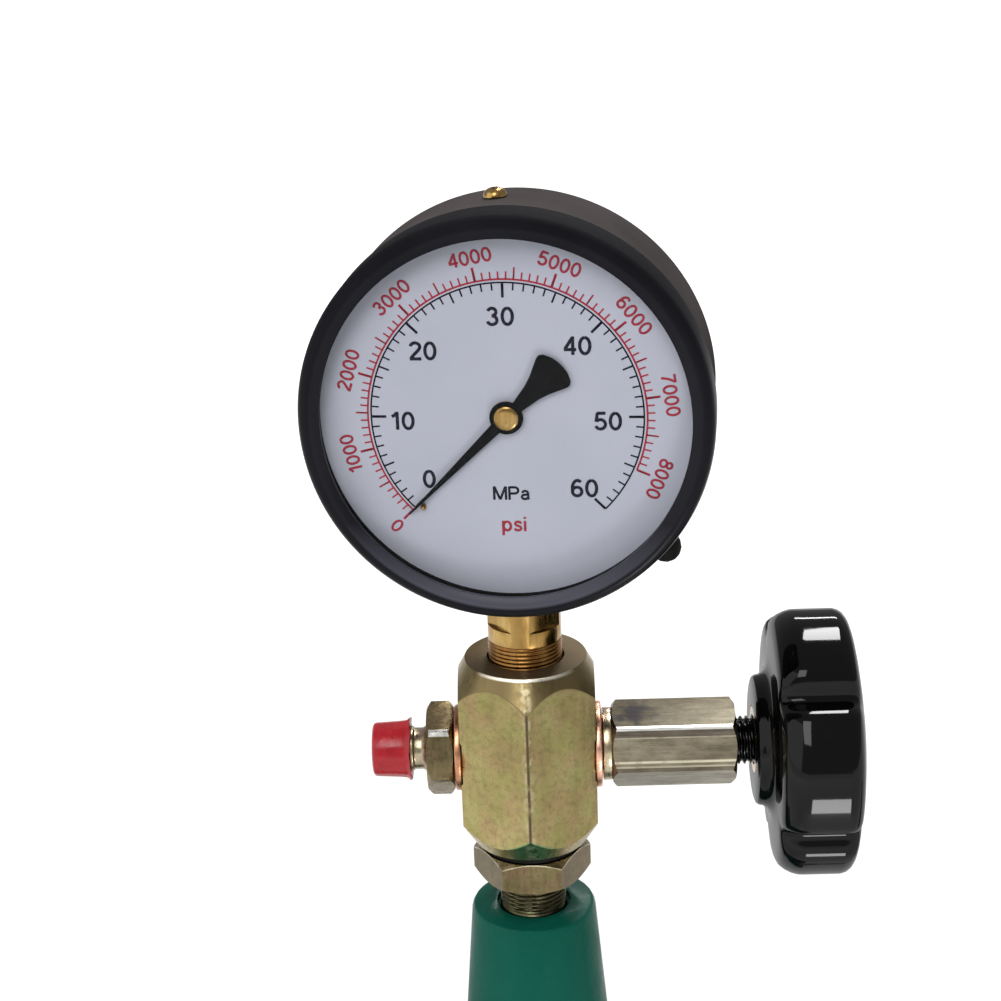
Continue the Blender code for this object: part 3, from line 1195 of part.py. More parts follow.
def movement_plates(frame, forward, pivot, front_place):
    outline = two_circle_outline((0, 0), PLATE_RADIUS, tuple(pivot), PLATE_RADIUS)
    for name, place in (("movement_rear_plate", REAR_PLATE_PLACE),
                        ("movement_front_plate", front_place)):
        sheet = plate(name, outline, PLATE_THICKNESS, "brass",
                      (0, -place - PLATE_THICKNESS / 2, 0), forward, frame)
        for index, spot in enumerate((Vector((0, 0)), pivot)):
            combine(sheet, cylinder("%s_hole_%d" % (name, index), ARBOR_RADIUS + SEAT_GAP,
                                    (spot.x, -place + OVERRUN, spot.y),
                                    (spot.x, -place - PLATE_THICKNESS - OVERRUN, spot.y), SMALL_STEPS,
                                    parent=frame))
    reach = PLATE_RADIUS - PILLAR_RADIUS - SEAT_GAP
    upper = polar(reach, SECTOR_PIVOT_ANGLE + UPPER_PILLAR_LEAD)
    lower = pivot + polar(reach, SECTOR_PIVOT_ANGLE - LOWER_PILLAR_LAG)
    for name, spot in (("movement_pillar_upper", upper), ("movement_pillar_lower", lower)):
        cylinder(name, PILLAR_RADIUS,
                 (spot.x, -REAR_PLATE_PLACE - PLATE_THICKNESS - SEAT_GAP, spot.y),
                 (spot.x, -front_place + SEAT_GAP, spot.y), SMALL_STEPS, "brass", frame)


def bourdon_tube(frame, forward):
    """The pressure tube, from the block's side round to its free end, and the end's lug."""
    start = -math.pi / 2 - math.asin((SOCKET_BLOCK_WIDTH / 2 + SEAT_GAP)
                                     / (TUBE_RADIUS - TUBE_HALF_WALL))
    sweep = TUBE_END - 2 * math.pi - start
    curve = bpy.data.curves.new("bourdon_tube_path", "CURVE")
    curve.dimensions = "3D"
    curve.extrude = TUBE_HALF_WIDTH
    curve.bevel_depth = TUBE_HALF_WALL
    curve.bevel_resolution = 1
    curve.use_fill_caps = True
    spline = curve.splines.new("POLY")
    points = arc((0, 0), TUBE_RADIUS, start, start + sweep, HEX_STEPS)
    spline.points.add(len(points) - 1)
    for point, (x, y) in zip(spline.points, points):
        point.co = (x, y, 0.0, 1.0)
    mesh_from_curve("bourdon_tube", curve, "brass", (0, -TUBE_PLACE, 0), forward, frame)


def gauge_movement(frame, forward):
    pinion_radius = PINION_TEETH * TOOTH_MODULE / 2
    sector_radius = GEAR_RATIO * pinion_radius
    pivot = polar(pinion_radius + sector_radius, SECTOR_PIVOT_ANGLE)
    to_arbor = SECTOR_PIVOT_ANGLE + math.pi
    front_place = REAR_PLATE_PLACE + PLATE_THICKNESS + PLATE_SPACE
    middle = REAR_PLATE_PLACE + PLATE_THICKNESS + PLATE_SPACE / 2
    movement_plates(frame, forward, pivot, front_place)
    bourdon_tube(frame, forward)

    arbor_end = DIAL_FACE + SEAT_GAP + POINTER_BOSS
    arbor = turned("pinion_arbor", [
        (0, arbor_end),
        (ARBOR_RADIUS, arbor_end),
        (ARBOR_RADIUS, REAR_PLATE_PLACE),
        (0, REAR_PLATE_PLACE),
    ], "steel", SMALL_STEPS, turn=forward, parent=frame)
    combine(arbor, plate("pinion_shape", tooth_row(pinion_radius, PINION_TEETH, to_arbor),
                         2 * SECTOR_THICKNESS, None, (0, -middle, 0), forward, frame), "UNION")

    tooth_angle = TOOTH_MODULE * math.pi / sector_radius
    half_row = (SECTOR_TOOTH_COUNT - 1) / 2 * tooth_angle
    first = to_arbor - SECTOR_LEAD * tooth_angle - half_row
    last = first + 2 * half_row
    rim = sector_radius - SECTOR_RIM
    outline = tooth_row(sector_radius, SECTOR_TOOTH_COUNT, first)
    outline.append(tuple(polar(rim, last)))
    outline += arc((0, 0), SECTOR_HUB_RADIUS, last + math.pi / 3,
                   first + 2 * math.pi - math.pi / 3, SMALL_STEPS)
    outline.append(tuple(polar(rim, first)))
    place = (pivot.x, -middle, pivot.y)
    sector = plate("sector_gear", outline, SECTOR_THICKNESS, "brass", place, forward, frame)
    tail = polar(TAIL_LENGTH, to_arbor + math.pi + TAIL_LEAD)
    inner_hub = SECTOR_HUB_RADIUS * HUB_OVERLAP_SHARE
    combine(sector, plate("sector_tail_shape", two_circle_outline(
        (0, 0), inner_hub, tuple(tail), TAIL_RADIUS), SECTOR_THICKNESS - 2 * MERGE, None,
        place, forward, frame), "UNION")
    combine(sector, cylinder("sector_shaft_shape", ARBOR_RADIUS,
                             (pivot.x, -REAR_PLATE_PLACE, pivot.y),
                             (pivot.x, -front_place - PLATE_THICKNESS, pivot.y), SMALL_STEPS,
                             parent=frame), "UNION")

    link_place = middle - SECTOR_THICKNESS / 2 - SEAT_GAP - LINK_THICKNESS / 2
    tip_front = link_place - LINK_THICKNESS / 2 - SEAT_GAP
    tip_back = TUBE_PLACE - TUBE_HALF_WIDTH
    tip_angle = TUBE_END - (TIP_RADIUS + SEAT_GAP) / TUBE_RADIUS
    root = polar(TUBE_RADIUS, tip_angle)
    eye = polar(TUBE_RADIUS, tip_angle - TIP_LENGTH / TUBE_RADIUS)
    plate("tube_tip", two_circle_outline(tuple(root), TIP_RADIUS, tuple(eye), LINK_RADIUS),
          tip_front - tip_back, "brass", (0, -(tip_front + tip_back) / 2, 0), forward, frame)
    pin = pivot + tail
    run = eye - pin
    plate("movement_link", two_circle_outline((0, 0), LINK_RADIUS, tuple(run),
                                              LINK_RADIUS - MERGE),
          LINK_THICKNESS, "brass", (pin.x, -link_place, pin.y), forward, frame)

    points = []
    count = HAIRSPRING_TURNS * HAIRSPRING_POINTS
    for index in range(count + 1):
        reach = HAIRSPRING_INNER + HAIRSPRING_PITCH * index / HAIRSPRING_POINTS
        spot = polar(reach, 2 * math.pi * index / HAIRSPRING_POINTS)
        points.append((spot.x, spot.y, 0.0))
    print("hairspring least gap between turns:",
          round(HAIRSPRING_PITCH - 2 * HAIRSPRING_WIRE, 5), "m")
    wire("hairspring", points, HAIRSPRING_WIRE, "steel", 0,
         (0, -middle - HAIRSPRING_RISE, 0), forward, frame)


def pointer_set(frame, forward):
    place = DIAL_FACE + SEAT_GAP + POINTER_BOSS + SEAT_GAP
    heading = POINTER_ZERO
    along = Vector((math.cos(heading), math.sin(heading)))
    across = Vector((-along.y, along.x))
    hub = arc((0, 0), POINTER_HUB_RADIUS, 0, 2 * math.pi * (1 - 1 / HEX_STEPS), HEX_STEPS - 1)
    pointer = plate("pointer", hub, POINTER_THICKNESS, "pointer_black",
                    (0, -place - POINTER_THICKNESS / 2, 0), forward, frame)
    needle = [
        across * POINTER_NECK,
        along * POINTER_LENGTH + across * POINTER_TIP,
        along * POINTER_LENGTH - across * POINTER_TIP,
        across * -POINTER_NECK,
        along * -POINTER_TAIL * TAIL_SHOULDER_SHARE - across * POINTER_TAIL_WIDTH,
        along * -POINTER_TAIL,
        along * -POINTER_TAIL * TAIL_SHOULDER_SHARE + across * POINTER_TAIL_WIDTH,
    ]
    outline = [tuple(point) for point in needle]
    blade = plate("pointer_blade", outline, POINTER_THICKNESS - 2 * MERGE, None,
                  (0, -place - POINTER_THICKNESS / 2, 0), forward, frame)
    combine(pointer, blade, "UNION")
    cap_place = place + POINTER_THICKNESS + SEAT_GAP
    turned("pointer_hub_cap", [
        (0, cap_place + HUB_CAP_HEIGHT),
        (HUB_CAP_RADIUS * HUB_CAP_TOP_SHARE, cap_place + HUB_CAP_HEIGHT),
        (HUB_CAP_RADIUS, cap_place + HUB_CAP_HEIGHT / 2),
        (HUB_CAP_RADIUS, cap_place),
        (0, cap_place),
    ], "brass", ROUND_STEPS, turn=forward, parent=frame)


def pressure_gauge():
    frame = bpy.data.objects.new("gauge_axis", None)
    PIECES.objects.link(frame)
    frame.location = (0, 0, GAUGE_HEIGHT)
    frame.rotation_euler = (0, 0, GAUGE_TURN)
    forward = (math.pi / 2, 0, 0)
    gauge_housing(frame, forward)
    gauge_stem(frame)
    gauge_movement(frame, forward)
    pointer_set(frame, forward)


def oil_tank():
    washer_one = TANK_BOSS_FACE + SEAT_GAP
    pad_face = washer_one + TANK_WASHER_THICKNESS + SEAT_GAP
    centre = -pad_face - TANK_RADIUS
    inner = TANK_RADIUS - TANK_WALL
    tank = turned("oil_tank", [
        (inner, TANK_TOP),
        (TANK_RADIUS, TANK_TOP),
        (TANK_RADIUS, TANK_BOTTOM + TANK_EDGE),
        (TANK_RADIUS - TANK_EDGE * ROUNDING_SHARE, TANK_BOTTOM + TANK_EDGE * ROUNDING_SHARE),
        (TANK_RADIUS - TANK_EDGE, TANK_BOTTOM),
        (0, TANK_BOTTOM),
        (0, TANK_BOTTOM + TANK_WALL),
        (inner - TANK_EDGE / 2, TANK_BOTTOM + TANK_WALL),
        (inner, TANK_BOTTOM + TANK_WALL + TANK_EDGE / 2),
    ], "green_paint", HEX_STEPS, (centre, 0, 0))
    pad_back = pad_face + TANK_PAD_THICKNESS
    combine(tank, cylinder("tank_pad", TANK_PAD_RADIUS, (-pad_face, 0, TANK_FEED_HEIGHT),
                           (-pad_back, 0, TANK_FEED_HEIGHT), HEX_STEPS), "UNION")
    combine(tank, cylinder("tank_hole", UNION_RADIUS + SEAT_GAP,
                           (-pad_face + OVERRUN, 0, TANK_FEED_HEIGHT),
                           (-pad_back - OVERRUN, 0, TANK_FEED_HEIGHT)))
    washer_two = pad_back + SEAT_GAP
    for name, start in (("tank_washer_outer", washer_one), ("tank_washer_inner", washer_two)):
        turned(name, [
            (UNION_RADIUS + SEAT_GAP, start + TANK_WASHER_THICKNESS),
            (TANK_WASHER_RADIUS, start + TANK_WASHER_THICKNESS),
            (TANK_WASHER_RADIUS, start),
            (UNION_RADIUS + SEAT_GAP, start),
        ], "copper", SMALL_STEPS, (0, 0, TANK_FEED_HEIGHT), (0, -math.pi / 2, 0))
    head_start = washer_two + TANK_WASHER_THICKNESS + SEAT_GAP
    shank_start = TANK_BOSS_FACE - UNION_IN_BOSS
    place = (0, 0, TANK_FEED_HEIGHT)
    turn = (0, -math.pi / 2, 0)
    bolt = hexagon("tank_union_bolt", UNION_HEAD_FLATS, head_start,
                   head_start + UNION_HEAD_HEIGHT, 0, place, turn)
    give_look(bolt, "brass")
    combine(bolt, cylinder("union_shank", UNION_RADIUS,
                           (-shank_start, 0, TANK_FEED_HEIGHT),
                           (-head_start - UNION_HEAD_HEIGHT / 2, 0, TANK_FEED_HEIGHT)), "UNION")
    combine(bolt, cylinder("union_bore", UNION_BORE,
                           (-shank_start + OVERRUN, 0, TANK_FEED_HEIGHT),
                           (-head_start - UNION_HEAD_HEIGHT - OVERRUN, 0, TANK_FEED_HEIGHT),
                           SMALL_STEPS))

    lid_low = TANK_TOP + SEAT_GAP
    skirt_inner = TANK_RADIUS + SEAT_GAP
    skirt_outer = skirt_inner + LID_THICKNESS
    lid_top = lid_low + LID_THICKNESS + LID_CROWN
    turned("tank_lid", [
        (0, lid_top),
        (LID_KNOB_RADIUS, lid_top),
        (skirt_outer - LID_CROWN, lid_low + LID_THICKNESS),
        (skirt_outer, lid_low + LID_THICKNESS - LID_CROWN * ROUNDING_SHARE),
        (skirt_outer, lid_low - LID_SKIRT),
        (skirt_inner, lid_low - LID_SKIRT),
        (skirt_inner, lid_low),
        (0, lid_low),
    ], "zinc_grey", HEX_STEPS, (centre, 0, 0))
    knob_low = lid_top + SEAT_GAP
    knob_top = knob_low + LID_KNOB_HEIGHT
    turned("lid_knob", [
        (0, knob_top),
        (LID_KNOB_RADIUS * LID_KNOB_TOP_SHARE, knob_top),
        (LID_KNOB_RADIUS, knob_top - LID_KNOB_HEIGHT * LID_KNOB_UPPER_SHARE),
        (LID_KNOB_RADIUS, knob_top - LID_KNOB_HEIGHT * LID_KNOB_MIDDLE_SHARE),
        (LID_KNOB_NECK, knob_low + LID_KNOB_HEIGHT * LID_KNOB_UPPER_SHARE),
        (LID_KNOB_NECK, knob_low),
        (0, knob_low),
    ], "knob_black", ROUND_STEPS, (centre, 0, 0))


for old in list(bpy.data.objects):
    bpy.data.objects.remove(old)
PIECES = new_collection("diesel_injector_tester")
CUTTERS = new_collection("cutters")

pump_stand()
pump_element()
delivery_valve_set()
hand_lever()
pressure_block()
capped_outlet()
shut_off_valve()
pressure_gauge()
oil_tank()
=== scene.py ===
# %% [markdown]
# # A diesel injector tester, dressed piece by piece
# The working model of the tester comes from the CAD pack: every solid is already in its place, in
# metres. This lesson keeps those places and gives each piece the finer shape and the finish that
# the real one shows. It starts with the modules and the frame that all pieces ride on.

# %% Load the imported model
import json
import math

import bpy
from mathutils import Matrix, Vector


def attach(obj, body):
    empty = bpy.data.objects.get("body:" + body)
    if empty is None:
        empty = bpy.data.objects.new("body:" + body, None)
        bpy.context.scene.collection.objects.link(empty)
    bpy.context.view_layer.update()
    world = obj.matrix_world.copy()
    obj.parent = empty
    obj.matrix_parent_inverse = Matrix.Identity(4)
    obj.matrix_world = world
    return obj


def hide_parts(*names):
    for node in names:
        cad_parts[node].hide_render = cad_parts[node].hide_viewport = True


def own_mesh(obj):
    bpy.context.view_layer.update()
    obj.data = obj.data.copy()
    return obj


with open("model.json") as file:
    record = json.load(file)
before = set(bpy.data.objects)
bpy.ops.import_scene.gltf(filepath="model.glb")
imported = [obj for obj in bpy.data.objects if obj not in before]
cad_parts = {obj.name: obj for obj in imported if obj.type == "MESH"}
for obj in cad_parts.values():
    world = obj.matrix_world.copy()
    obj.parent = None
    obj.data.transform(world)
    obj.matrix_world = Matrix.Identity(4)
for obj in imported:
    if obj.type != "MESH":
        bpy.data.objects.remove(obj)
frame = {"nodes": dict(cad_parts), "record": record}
nodes = frame["nodes"]
record = frame["record"]
slot_of = {row["node"]: row["material_slot"] for row in record["subparts"]}
body_of_node = {node: body for body, members in record["behaviour"]["bodies"].items()
                for node in members}
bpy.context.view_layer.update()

# %% [markdown]
# ## The camera
# The tester was photographed from a little above, with a slight roll. The camera's axes are built
# from its line of sight: across is square to that line and to the upright, and both are then
# rolled. A long lens keeps the gauge's circle from stretching.

# %% Place the camera
CAMERA_PLACE = Vector((0.0077, -0.5011, 0.4856))
SIGHT = Vector((-0.0240, 0.9417, -0.3356)).normalized()
ROLL = math.radians(-2.15)
LENS = 74.34

across = SIGHT.cross(Vector((0, 0, 1))).normalized()
upright = across.cross(SIGHT)
camera_x = across * math.cos(ROLL) + upright * math.sin(ROLL)
camera_y = upright * math.cos(ROLL) - across * math.sin(ROLL)
bpy.ops.object.camera_add()
camera = bpy.context.object
camera.name = "photo_camera"
camera.matrix_world = Matrix((
    (camera_x.x, camera_y.x, -SIGHT.x, CAMERA_PLACE.x),
    (camera_x.y, camera_y.y, -SIGHT.y, CAMERA_PLACE.y),
    (camera_x.z, camera_y.z, -SIGHT.z, CAMERA_PLACE.z),
    (0, 0, 0, 1),
))
camera.data.lens = LENS
camera.data.sensor_width = 36
camera.data.clip_start = 0.02
bpy.context.scene.camera = camera
print("camera looks along", tuple(SIGHT))

# %% [markdown]
# ## The axes of the tester
# A turned piece is made upright round its own axis and then moved to its place. The side fittings
# share one level axis, and the gauge is turned six degrees on its stem. Each place is one matrix.

# %% Name the places
PORT_HEIGHT = 0.2370          # axis of the outlet and the valve
GAUGE_HEIGHT = 0.3362         # axis of the dial
QUARTER = math.pi / 2
CORNER = math.radians(44.5)   # a corner of both side hexagons lies this far above the front
UPRIGHT = Matrix.Identity(4)
TO_RIGHT = Matrix.Translation((0, 0, PORT_HEIGHT)) @ Matrix.Rotation(QUARTER, 4, "Y")
TO_LEFT = Matrix.Translation((0, 0, PORT_HEIGHT)) @ Matrix.Rotation(-QUARTER, 4, "Y")
GAUGE = Matrix.Translation((0, 0, GAUGE_HEIGHT)) @ Matrix.Rotation(math.radians(-6), 4, "Z")
DIAL = GAUGE @ Matrix.Rotation(QUARTER, 4, "X")
print("ports at", PORT_HEIGHT, "and dial at", GAUGE_HEIGHT)

# %% [markdown]
# ## Small helpers for the bench
# An operator works on everything that is selected, and loading the frame leaves all its nodes
# selected, so each piece starts with nothing selected. Most edits act on a whole piece, and most
# of them end by merging doubles and turning the faces outwards.

# %% Helpers that select and edit
WELD = 0.000002               # points closer than this are one point


def nothing_selected():
    bpy.ops.object.select_all(action="DESELECT")


def only(piece):
    nothing_selected()
    piece.select_set(True)
    bpy.context.view_layer.objects.active = piece


def edit_all():
    """Opens the active piece in edit mode, with all of it selected."""
    bpy.ops.object.mode_set(mode="EDIT")
    bpy.ops.mesh.select_all(action="SELECT")


def leave_edit():
    bpy.ops.object.mode_set(mode="OBJECT")


def weld():
    """Merges doubles, turns the faces outwards and leaves edit mode."""
    bpy.ops.mesh.select_all(action="SELECT")
    bpy.ops.mesh.remove_doubles(threshold=WELD)
    bpy.ops.mesh.normals_make_consistent(inside=False)
    leave_edit()


def smooth(piece, degrees=35):
    only(piece)
    bpy.ops.object.shade_smooth_by_angle(angle=math.radians(degrees))


# %% [markdown]
# A modifier does what would be slow by hand: a boolean carves one solid with another, and a bevel
# rounds the edges. It is applied at once, so that the next step works on the real faces.

# %% Helpers that cut, round and copy
def apply_modifier(piece, kind, **settings):
    only(piece)
    change = piece.modifiers.new(kind.title(), kind)
    for name, value in settings.items():
        setattr(change, name, value)
    bpy.ops.object.modifier_apply(modifier=change.name)


def carve(piece, tool, operation="DIFFERENCE"):
    apply_modifier(piece, "BOOLEAN", object=tool, operation=operation, solver="EXACT")
    bpy.data.objects.remove(tool, do_unlink=True)


def cut_box(piece, size, place):
    """Cuts a box of the given size out of a piece."""
    nothing_selected()
    bpy.ops.mesh.primitive_cube_add(size=1)
    box = bpy.context.object
    box.data.transform(place @ Matrix.Diagonal((*size, 1)))
    carve(piece, box)


def round_edges(piece, width, segments=2, degrees=30):
    apply_modifier(piece, "BEVEL", width=width, segments=segments, limit_method="ANGLE",
                   angle_limit=math.radians(degrees))


def copied(original, name):
    piece = bpy.data.objects.new(name, original.data.copy())
    bpy.context.scene.collection.objects.link(piece)
    return piece


# %% [markdown]
# The finished piece keeps its place in its mesh: its own object stays at the origin, as the frame's
# nodes do. It rides on the body of its node, stands for that node and has its slot.

# %% Helper that fits a finished piece
def fit(piece, name, finish, node, place=UPRIGHT, replaced=None):
    piece.data.transform(piece.matrix_world)
    piece.matrix_world = Matrix.Identity(4)
    piece.data.transform(place)
    piece.name = name
    piece.data.name = name
    piece.data.materials.clear()
    piece.data.materials.append(finish)
    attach(piece, body_of_node[node])
    if replaced is None:
        replaced = [node]
    if replaced:
        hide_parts(*replaced)
    print(name, "has", len(piece.data.polygons), "faces")
    return piece


# %% [markdown]
# ## Turned pieces
# Most pieces of the tester come off a lathe. Their shape is a profile, a row of points from the
# axis outwards and back, and the spin tool carries it once round. A primitive plane is merged to
# the first point, and each further point is extruded from the last one. A bevel of the points
# rounds the corners before the spin, as a tool with a small nose radius does.

# %% Turn a profile on the lathe
def turned(profile, steps=96, rounding=0.0, segments=3, degrees=35):
    """profile is a list of (radius, height); a ring ends on its first point."""
    nothing_selected()
    bpy.ops.mesh.primitive_plane_add(size=0.001)
    piece = bpy.context.object
    edit_all()
    bpy.ops.mesh.merge(type="CENTER")
    radius, height = profile[0]
    bpy.ops.transform.translate(value=(radius, 0, height))
    for radius_next, height_next in profile[1:]:
        step = (radius_next - radius, 0, height_next - height)
        bpy.ops.mesh.extrude_region_move(TRANSFORM_OT_translate={"value": step})
        radius, height = radius_next, height_next
    bpy.ops.mesh.select_all(action="SELECT")
    if profile[0] == profile[-1]:
        bpy.ops.mesh.remove_doubles(threshold=WELD)
    if rounding:
        leave_edit()
        for point in piece.data.vertices:
            point.select = point.co.x > WELD
        bpy.ops.object.mode_set(mode="EDIT")
        bpy.ops.mesh.bevel(affect="VERTICES", offset=rounding, segments=segments,
                           clamp_overlap=True)
        bpy.ops.mesh.select_all(action="SELECT")
    bpy.ops.mesh.spin(steps=steps, angle=2 * math.pi, center=(0, 0, 0), axis=(0, 0, 1))
    weld()
    smooth(piece, degrees)
    return piece


# %% [markdown]
# ## Hexagons
# A hexagon nut starts as six-sided bar. The bar's corners are turned off at its ends, which leaves
# the curved lines that every nut shows. Here the six-sided cylinder is cut by a turned body: what
# both hold is the nut.

# %% Cut a hexagon from bar
SPARE = 0.001                 # how far the bar and the turned body stand past each other


def hexagon(flats, low, high, end_radii, chamfers, corner, edge=0.00035):
    """corner is the angle of one corner, from +X towards +Y."""
    low_radius, high_radius = end_radii
    low_chamfer, high_chamfer = chamfers
    corner_radius = flats / 2 / math.cos(math.pi / 6)
    wide = corner_radius + SPARE
    low_slope = low_chamfer / (corner_radius - low_radius)
    high_slope = high_chamfer / (corner_radius - high_radius)
    nothing_selected()
    bpy.ops.mesh.primitive_cylinder_add(vertices=6, radius=corner_radius,
                                        depth=high - low + 2 * SPARE,
                                        location=(0, 0, (high + low) / 2))
    bar = bpy.context.object
    bar.data.transform(Matrix.Rotation(corner - QUARTER, 4, "Z"))
    envelope = turned([
        (0, high), (high_radius, high),
        (wide, high - high_slope * (wide - high_radius)),
        (wide, low + low_slope * (wide - low_radius)),
        (low_radius, low), (0, low),
    ], 144)
    carve(bar, envelope, "INTERSECT")
    if edge:
        round_edges(bar, edge, 3, 24)
    smooth(bar, 24)
    return bar


# %% [markdown]
# ## Threads
# A thread is a ridge that climbs one pitch in each turn. A flat grid is rolled up into a tube, and
# each of its points moves in or out by where it lies between two crests. The seam is merged and
# the ends are closed, so that the thread is one solid screw.

# %% Roll up a thread
RUNOUT = 0.6                  # part of a pitch over which the ridge fades at an end
RUNOUT_SLOPE = 0.5
DEEPEST = 1.2                 # deepest point at an end, in depths of the thread


def thread(radius, depth, pitch, low, high, columns=72, rows_to_pitch=8, flat=0.22):
    rows = max(2, round((high - low) / pitch * rows_to_pitch))
    nothing_selected()
    bpy.ops.mesh.primitive_grid_add(x_subdivisions=columns, y_subdivisions=rows, size=2)
    piece = bpy.context.object
    for point in piece.data.vertices:
        angle = math.pi * (point.co.x + 1)
        height = low + (high - low) * (point.co.y + 1) / 2
        phase = (height / pitch - angle / (2 * math.pi)) % 1
        ridge = min(1, max(0, (abs(2 * phase - 1) - flat) / (1 - 2 * flat)))
        from_end = min(height - low, high - height)
        bite = depth * ridge + max(0, RUNOUT * pitch - from_end) * RUNOUT_SLOPE
        reach = radius - min(bite, depth * DEEPEST)
        point.co = (reach * math.cos(angle), reach * math.sin(angle), height)
    edit_all()
    bpy.ops.mesh.remove_doubles(threshold=WELD)
    bpy.ops.mesh.select_all(action="DESELECT")
    bpy.ops.mesh.select_non_manifold()
    bpy.ops.mesh.edge_face_add()
    weld()
    smooth(piece, 50)
    return piece


# %% [markdown]
# ## Pieces that follow a line
# A spring's wire, a printed figure and the pointer's outline are easier to draw than to turn. Each
# is a curve through rows of points. Its own settings give it a round section or a thickness, and
# the convert operator makes it a mesh.

# %% Draw a piece along rows of points
def drawn(name, strokes, closed=False, **settings):
    """strokes holds rows of (x, y, z); settings go to the curve."""
    drawing = bpy.data.curves.new(name, "CURVE")
    for setting, value in settings.items():
        setattr(drawing, setting, value)
    for points in strokes:
        line = drawing.splines.new("POLY")
        line.points.add(len(points) - 1)
        line.use_cyclic_u = closed
        for point, place in zip(line.points, points):
            point.co = (*place, 1)
    piece = bpy.data.objects.new(name, drawing)
    bpy.context.scene.collection.objects.link(piece)
    only(piece)
    bpy.ops.object.convert(target="MESH")
    return bpy.context.object


# %% [markdown]
# ## Copies of cast and cut pieces
# Some solids already have the right shape, but their faces are loose triangles and look faceted.
# A copy is merged, its flat faces are joined again, its sharp edges get a small round, and it is
# shaded smooth. The copy then stands for the solid, and the solid itself is left alone.

# %% Polish a copy of a node
TRIANGLE_WELD = 0.00001       # the solids' triangles meet within this
FLAT_WITHIN = math.radians(0.6)


def polished(node, edge=0.0, degrees=35, segments=2, bevel_from=40):
    piece = copied(nodes[node], node + "_copy")
    only(piece)
    if piece.data.has_custom_normals:
        bpy.ops.mesh.customdata_custom_splitnormals_clear()
    edit_all()
    bpy.ops.mesh.remove_doubles(threshold=TRIANGLE_WELD)
    bpy.ops.mesh.dissolve_limited(angle_limit=FLAT_WITHIN)
    leave_edit()
    if edge:
        round_edges(piece, edge, segments, bevel_from)
    smooth(piece, degrees)
    return piece


# %% [markdown]
# ## Finishes
# A finish is more than a colour. Cast paint has a slight orange skin, plated steel is blotched,
# brass darkens in its hollows. Each finish here mixes two or three tones with noise in object
# coordinates, so that the pattern stays on the piece, and a finer noise gives roughness and bump.
# The first helper starts a finish, and the second adds any node and fills its inputs.

# %% Helpers that wire a finish
def shader_inputs(material):
    return material.node_tree.nodes["Principled BSDF"].inputs


def new_finish(name, metallic, roughness, **sockets):
    material = bpy.data.materials.new(name)
    material.use_nodes = True
    inputs = shader_inputs(material)
    inputs["Metallic"].default_value = metallic
    inputs["Roughness"].default_value = roughness
    for socket, value in sockets.items():
        inputs[socket.replace("_", " ")].default_value = value
    return material


def wired(tree, kind, inputs, output=0, **settings):
    """Adds a node, links or sets its inputs, and gives one of its outputs."""
    node = tree.nodes.new(kind)
    for name, value in settings.items():
        setattr(node, name, value)
    for name, value in inputs.items():
        if isinstance(value, bpy.types.NodeSocket):
            tree.links.new(value, node.inputs[name])
        else:
            node.inputs[name].default_value = value
    return node.outputs[output]


def to_shader(material, socket, value):
    material.node_tree.links.new(value, shader_inputs(material)[socket])


def wired_to(material, socket):
    """What one of the shader's sockets is wired to so far."""
    return shader_inputs(material)[socket].links[0].from_socket


def skin(material, value, strength, distance):
    """A bump of the given depth in metres."""
    to_shader(material, "Normal", wired(value.id_data, "ShaderNodeBump", {
        "Height": value, "Strength": strength, "Distance": distance}))


# %% [markdown]
# Noise gives a number between 0 and 1 at each place. A ramp turns it into tones, a spread into a
# roughness, and a blend lays one tone over another. A socket knows its own node tree, so most of
# these helpers need no more than the sockets that they join. A finish can be built up in layers:
# each one goes over what the shader's colour is wired to so far.

# %% Helpers that turn noise into tones
def noise(material, scale, detail=4.0, stretch=(1, 1, 1), roughness=0.55):
    """A noise value from 0 to 1 in object coordinates; scale counts features in a metre."""
    tree = material.node_tree
    place = wired(tree, "ShaderNodeTexCoord", {}, "Object")
    place = wired(tree, "ShaderNodeMapping", {"Vector": place, "Scale": stretch})
    return wired(tree, "ShaderNodeTexNoise", {
        "Vector": place, "Scale": scale, "Detail": detail, "Roughness": roughness}, "Fac")


def ramp(value, stops):
    """stops is a list of (position, colour); colours are linear."""
    tree = value.id_data
    node = tree.nodes.new("ShaderNodeValToRGB")
    elements = node.color_ramp.elements
    while len(elements) < len(stops):
        elements.new(0.5)
    for element, (position, colour) in zip(elements, stops):
        element.position = position
        element.color = (*colour, 1)
    tree.links.new(value, node.inputs["Fac"])
    return node.outputs["Color"]


def spread(value, low, high, start=0.3, end=0.7):
    """Runs from low to high while the value runs from start to end."""
    return wired(value.id_data, "ShaderNodeMapRange", {
        "Value": value, "From Min": start, "From Max": end, "To Min": low, "To Max": high})


def blend(value, first, second, mode="MIX"):
    """Mixes two colours, given as sockets or as plain colours, by a socket or a number."""
    first, second = ((*colour, 1) if isinstance(colour, tuple) else colour
                     for colour in (first, second))
    tree = (first if isinstance(value, float) else value).id_data
    return wired(tree, "ShaderNodeMix", {0: value, 6: first, 7: second}, 2,
                 data_type="RGBA", blend_type=mode)


def two_tones(material, scale, detail, dark, light):
    to_shader(material, "Base Color", ramp(noise(material, scale, detail),
                                           [(0.3, dark), (0.7, light)]))


def lay_over(material, mask, colour):
    """Lays a colour over the finish where the mask is 1."""
    to_shader(material, "Base Color", blend(mask, wired_to(material, "Base Color"), colour))


def shade(material, factor):
    tone = wired_to(material, "Base Color")
    to_shader(material, "Base Color", blend(1.0, tone, factor, "MULTIPLY"))
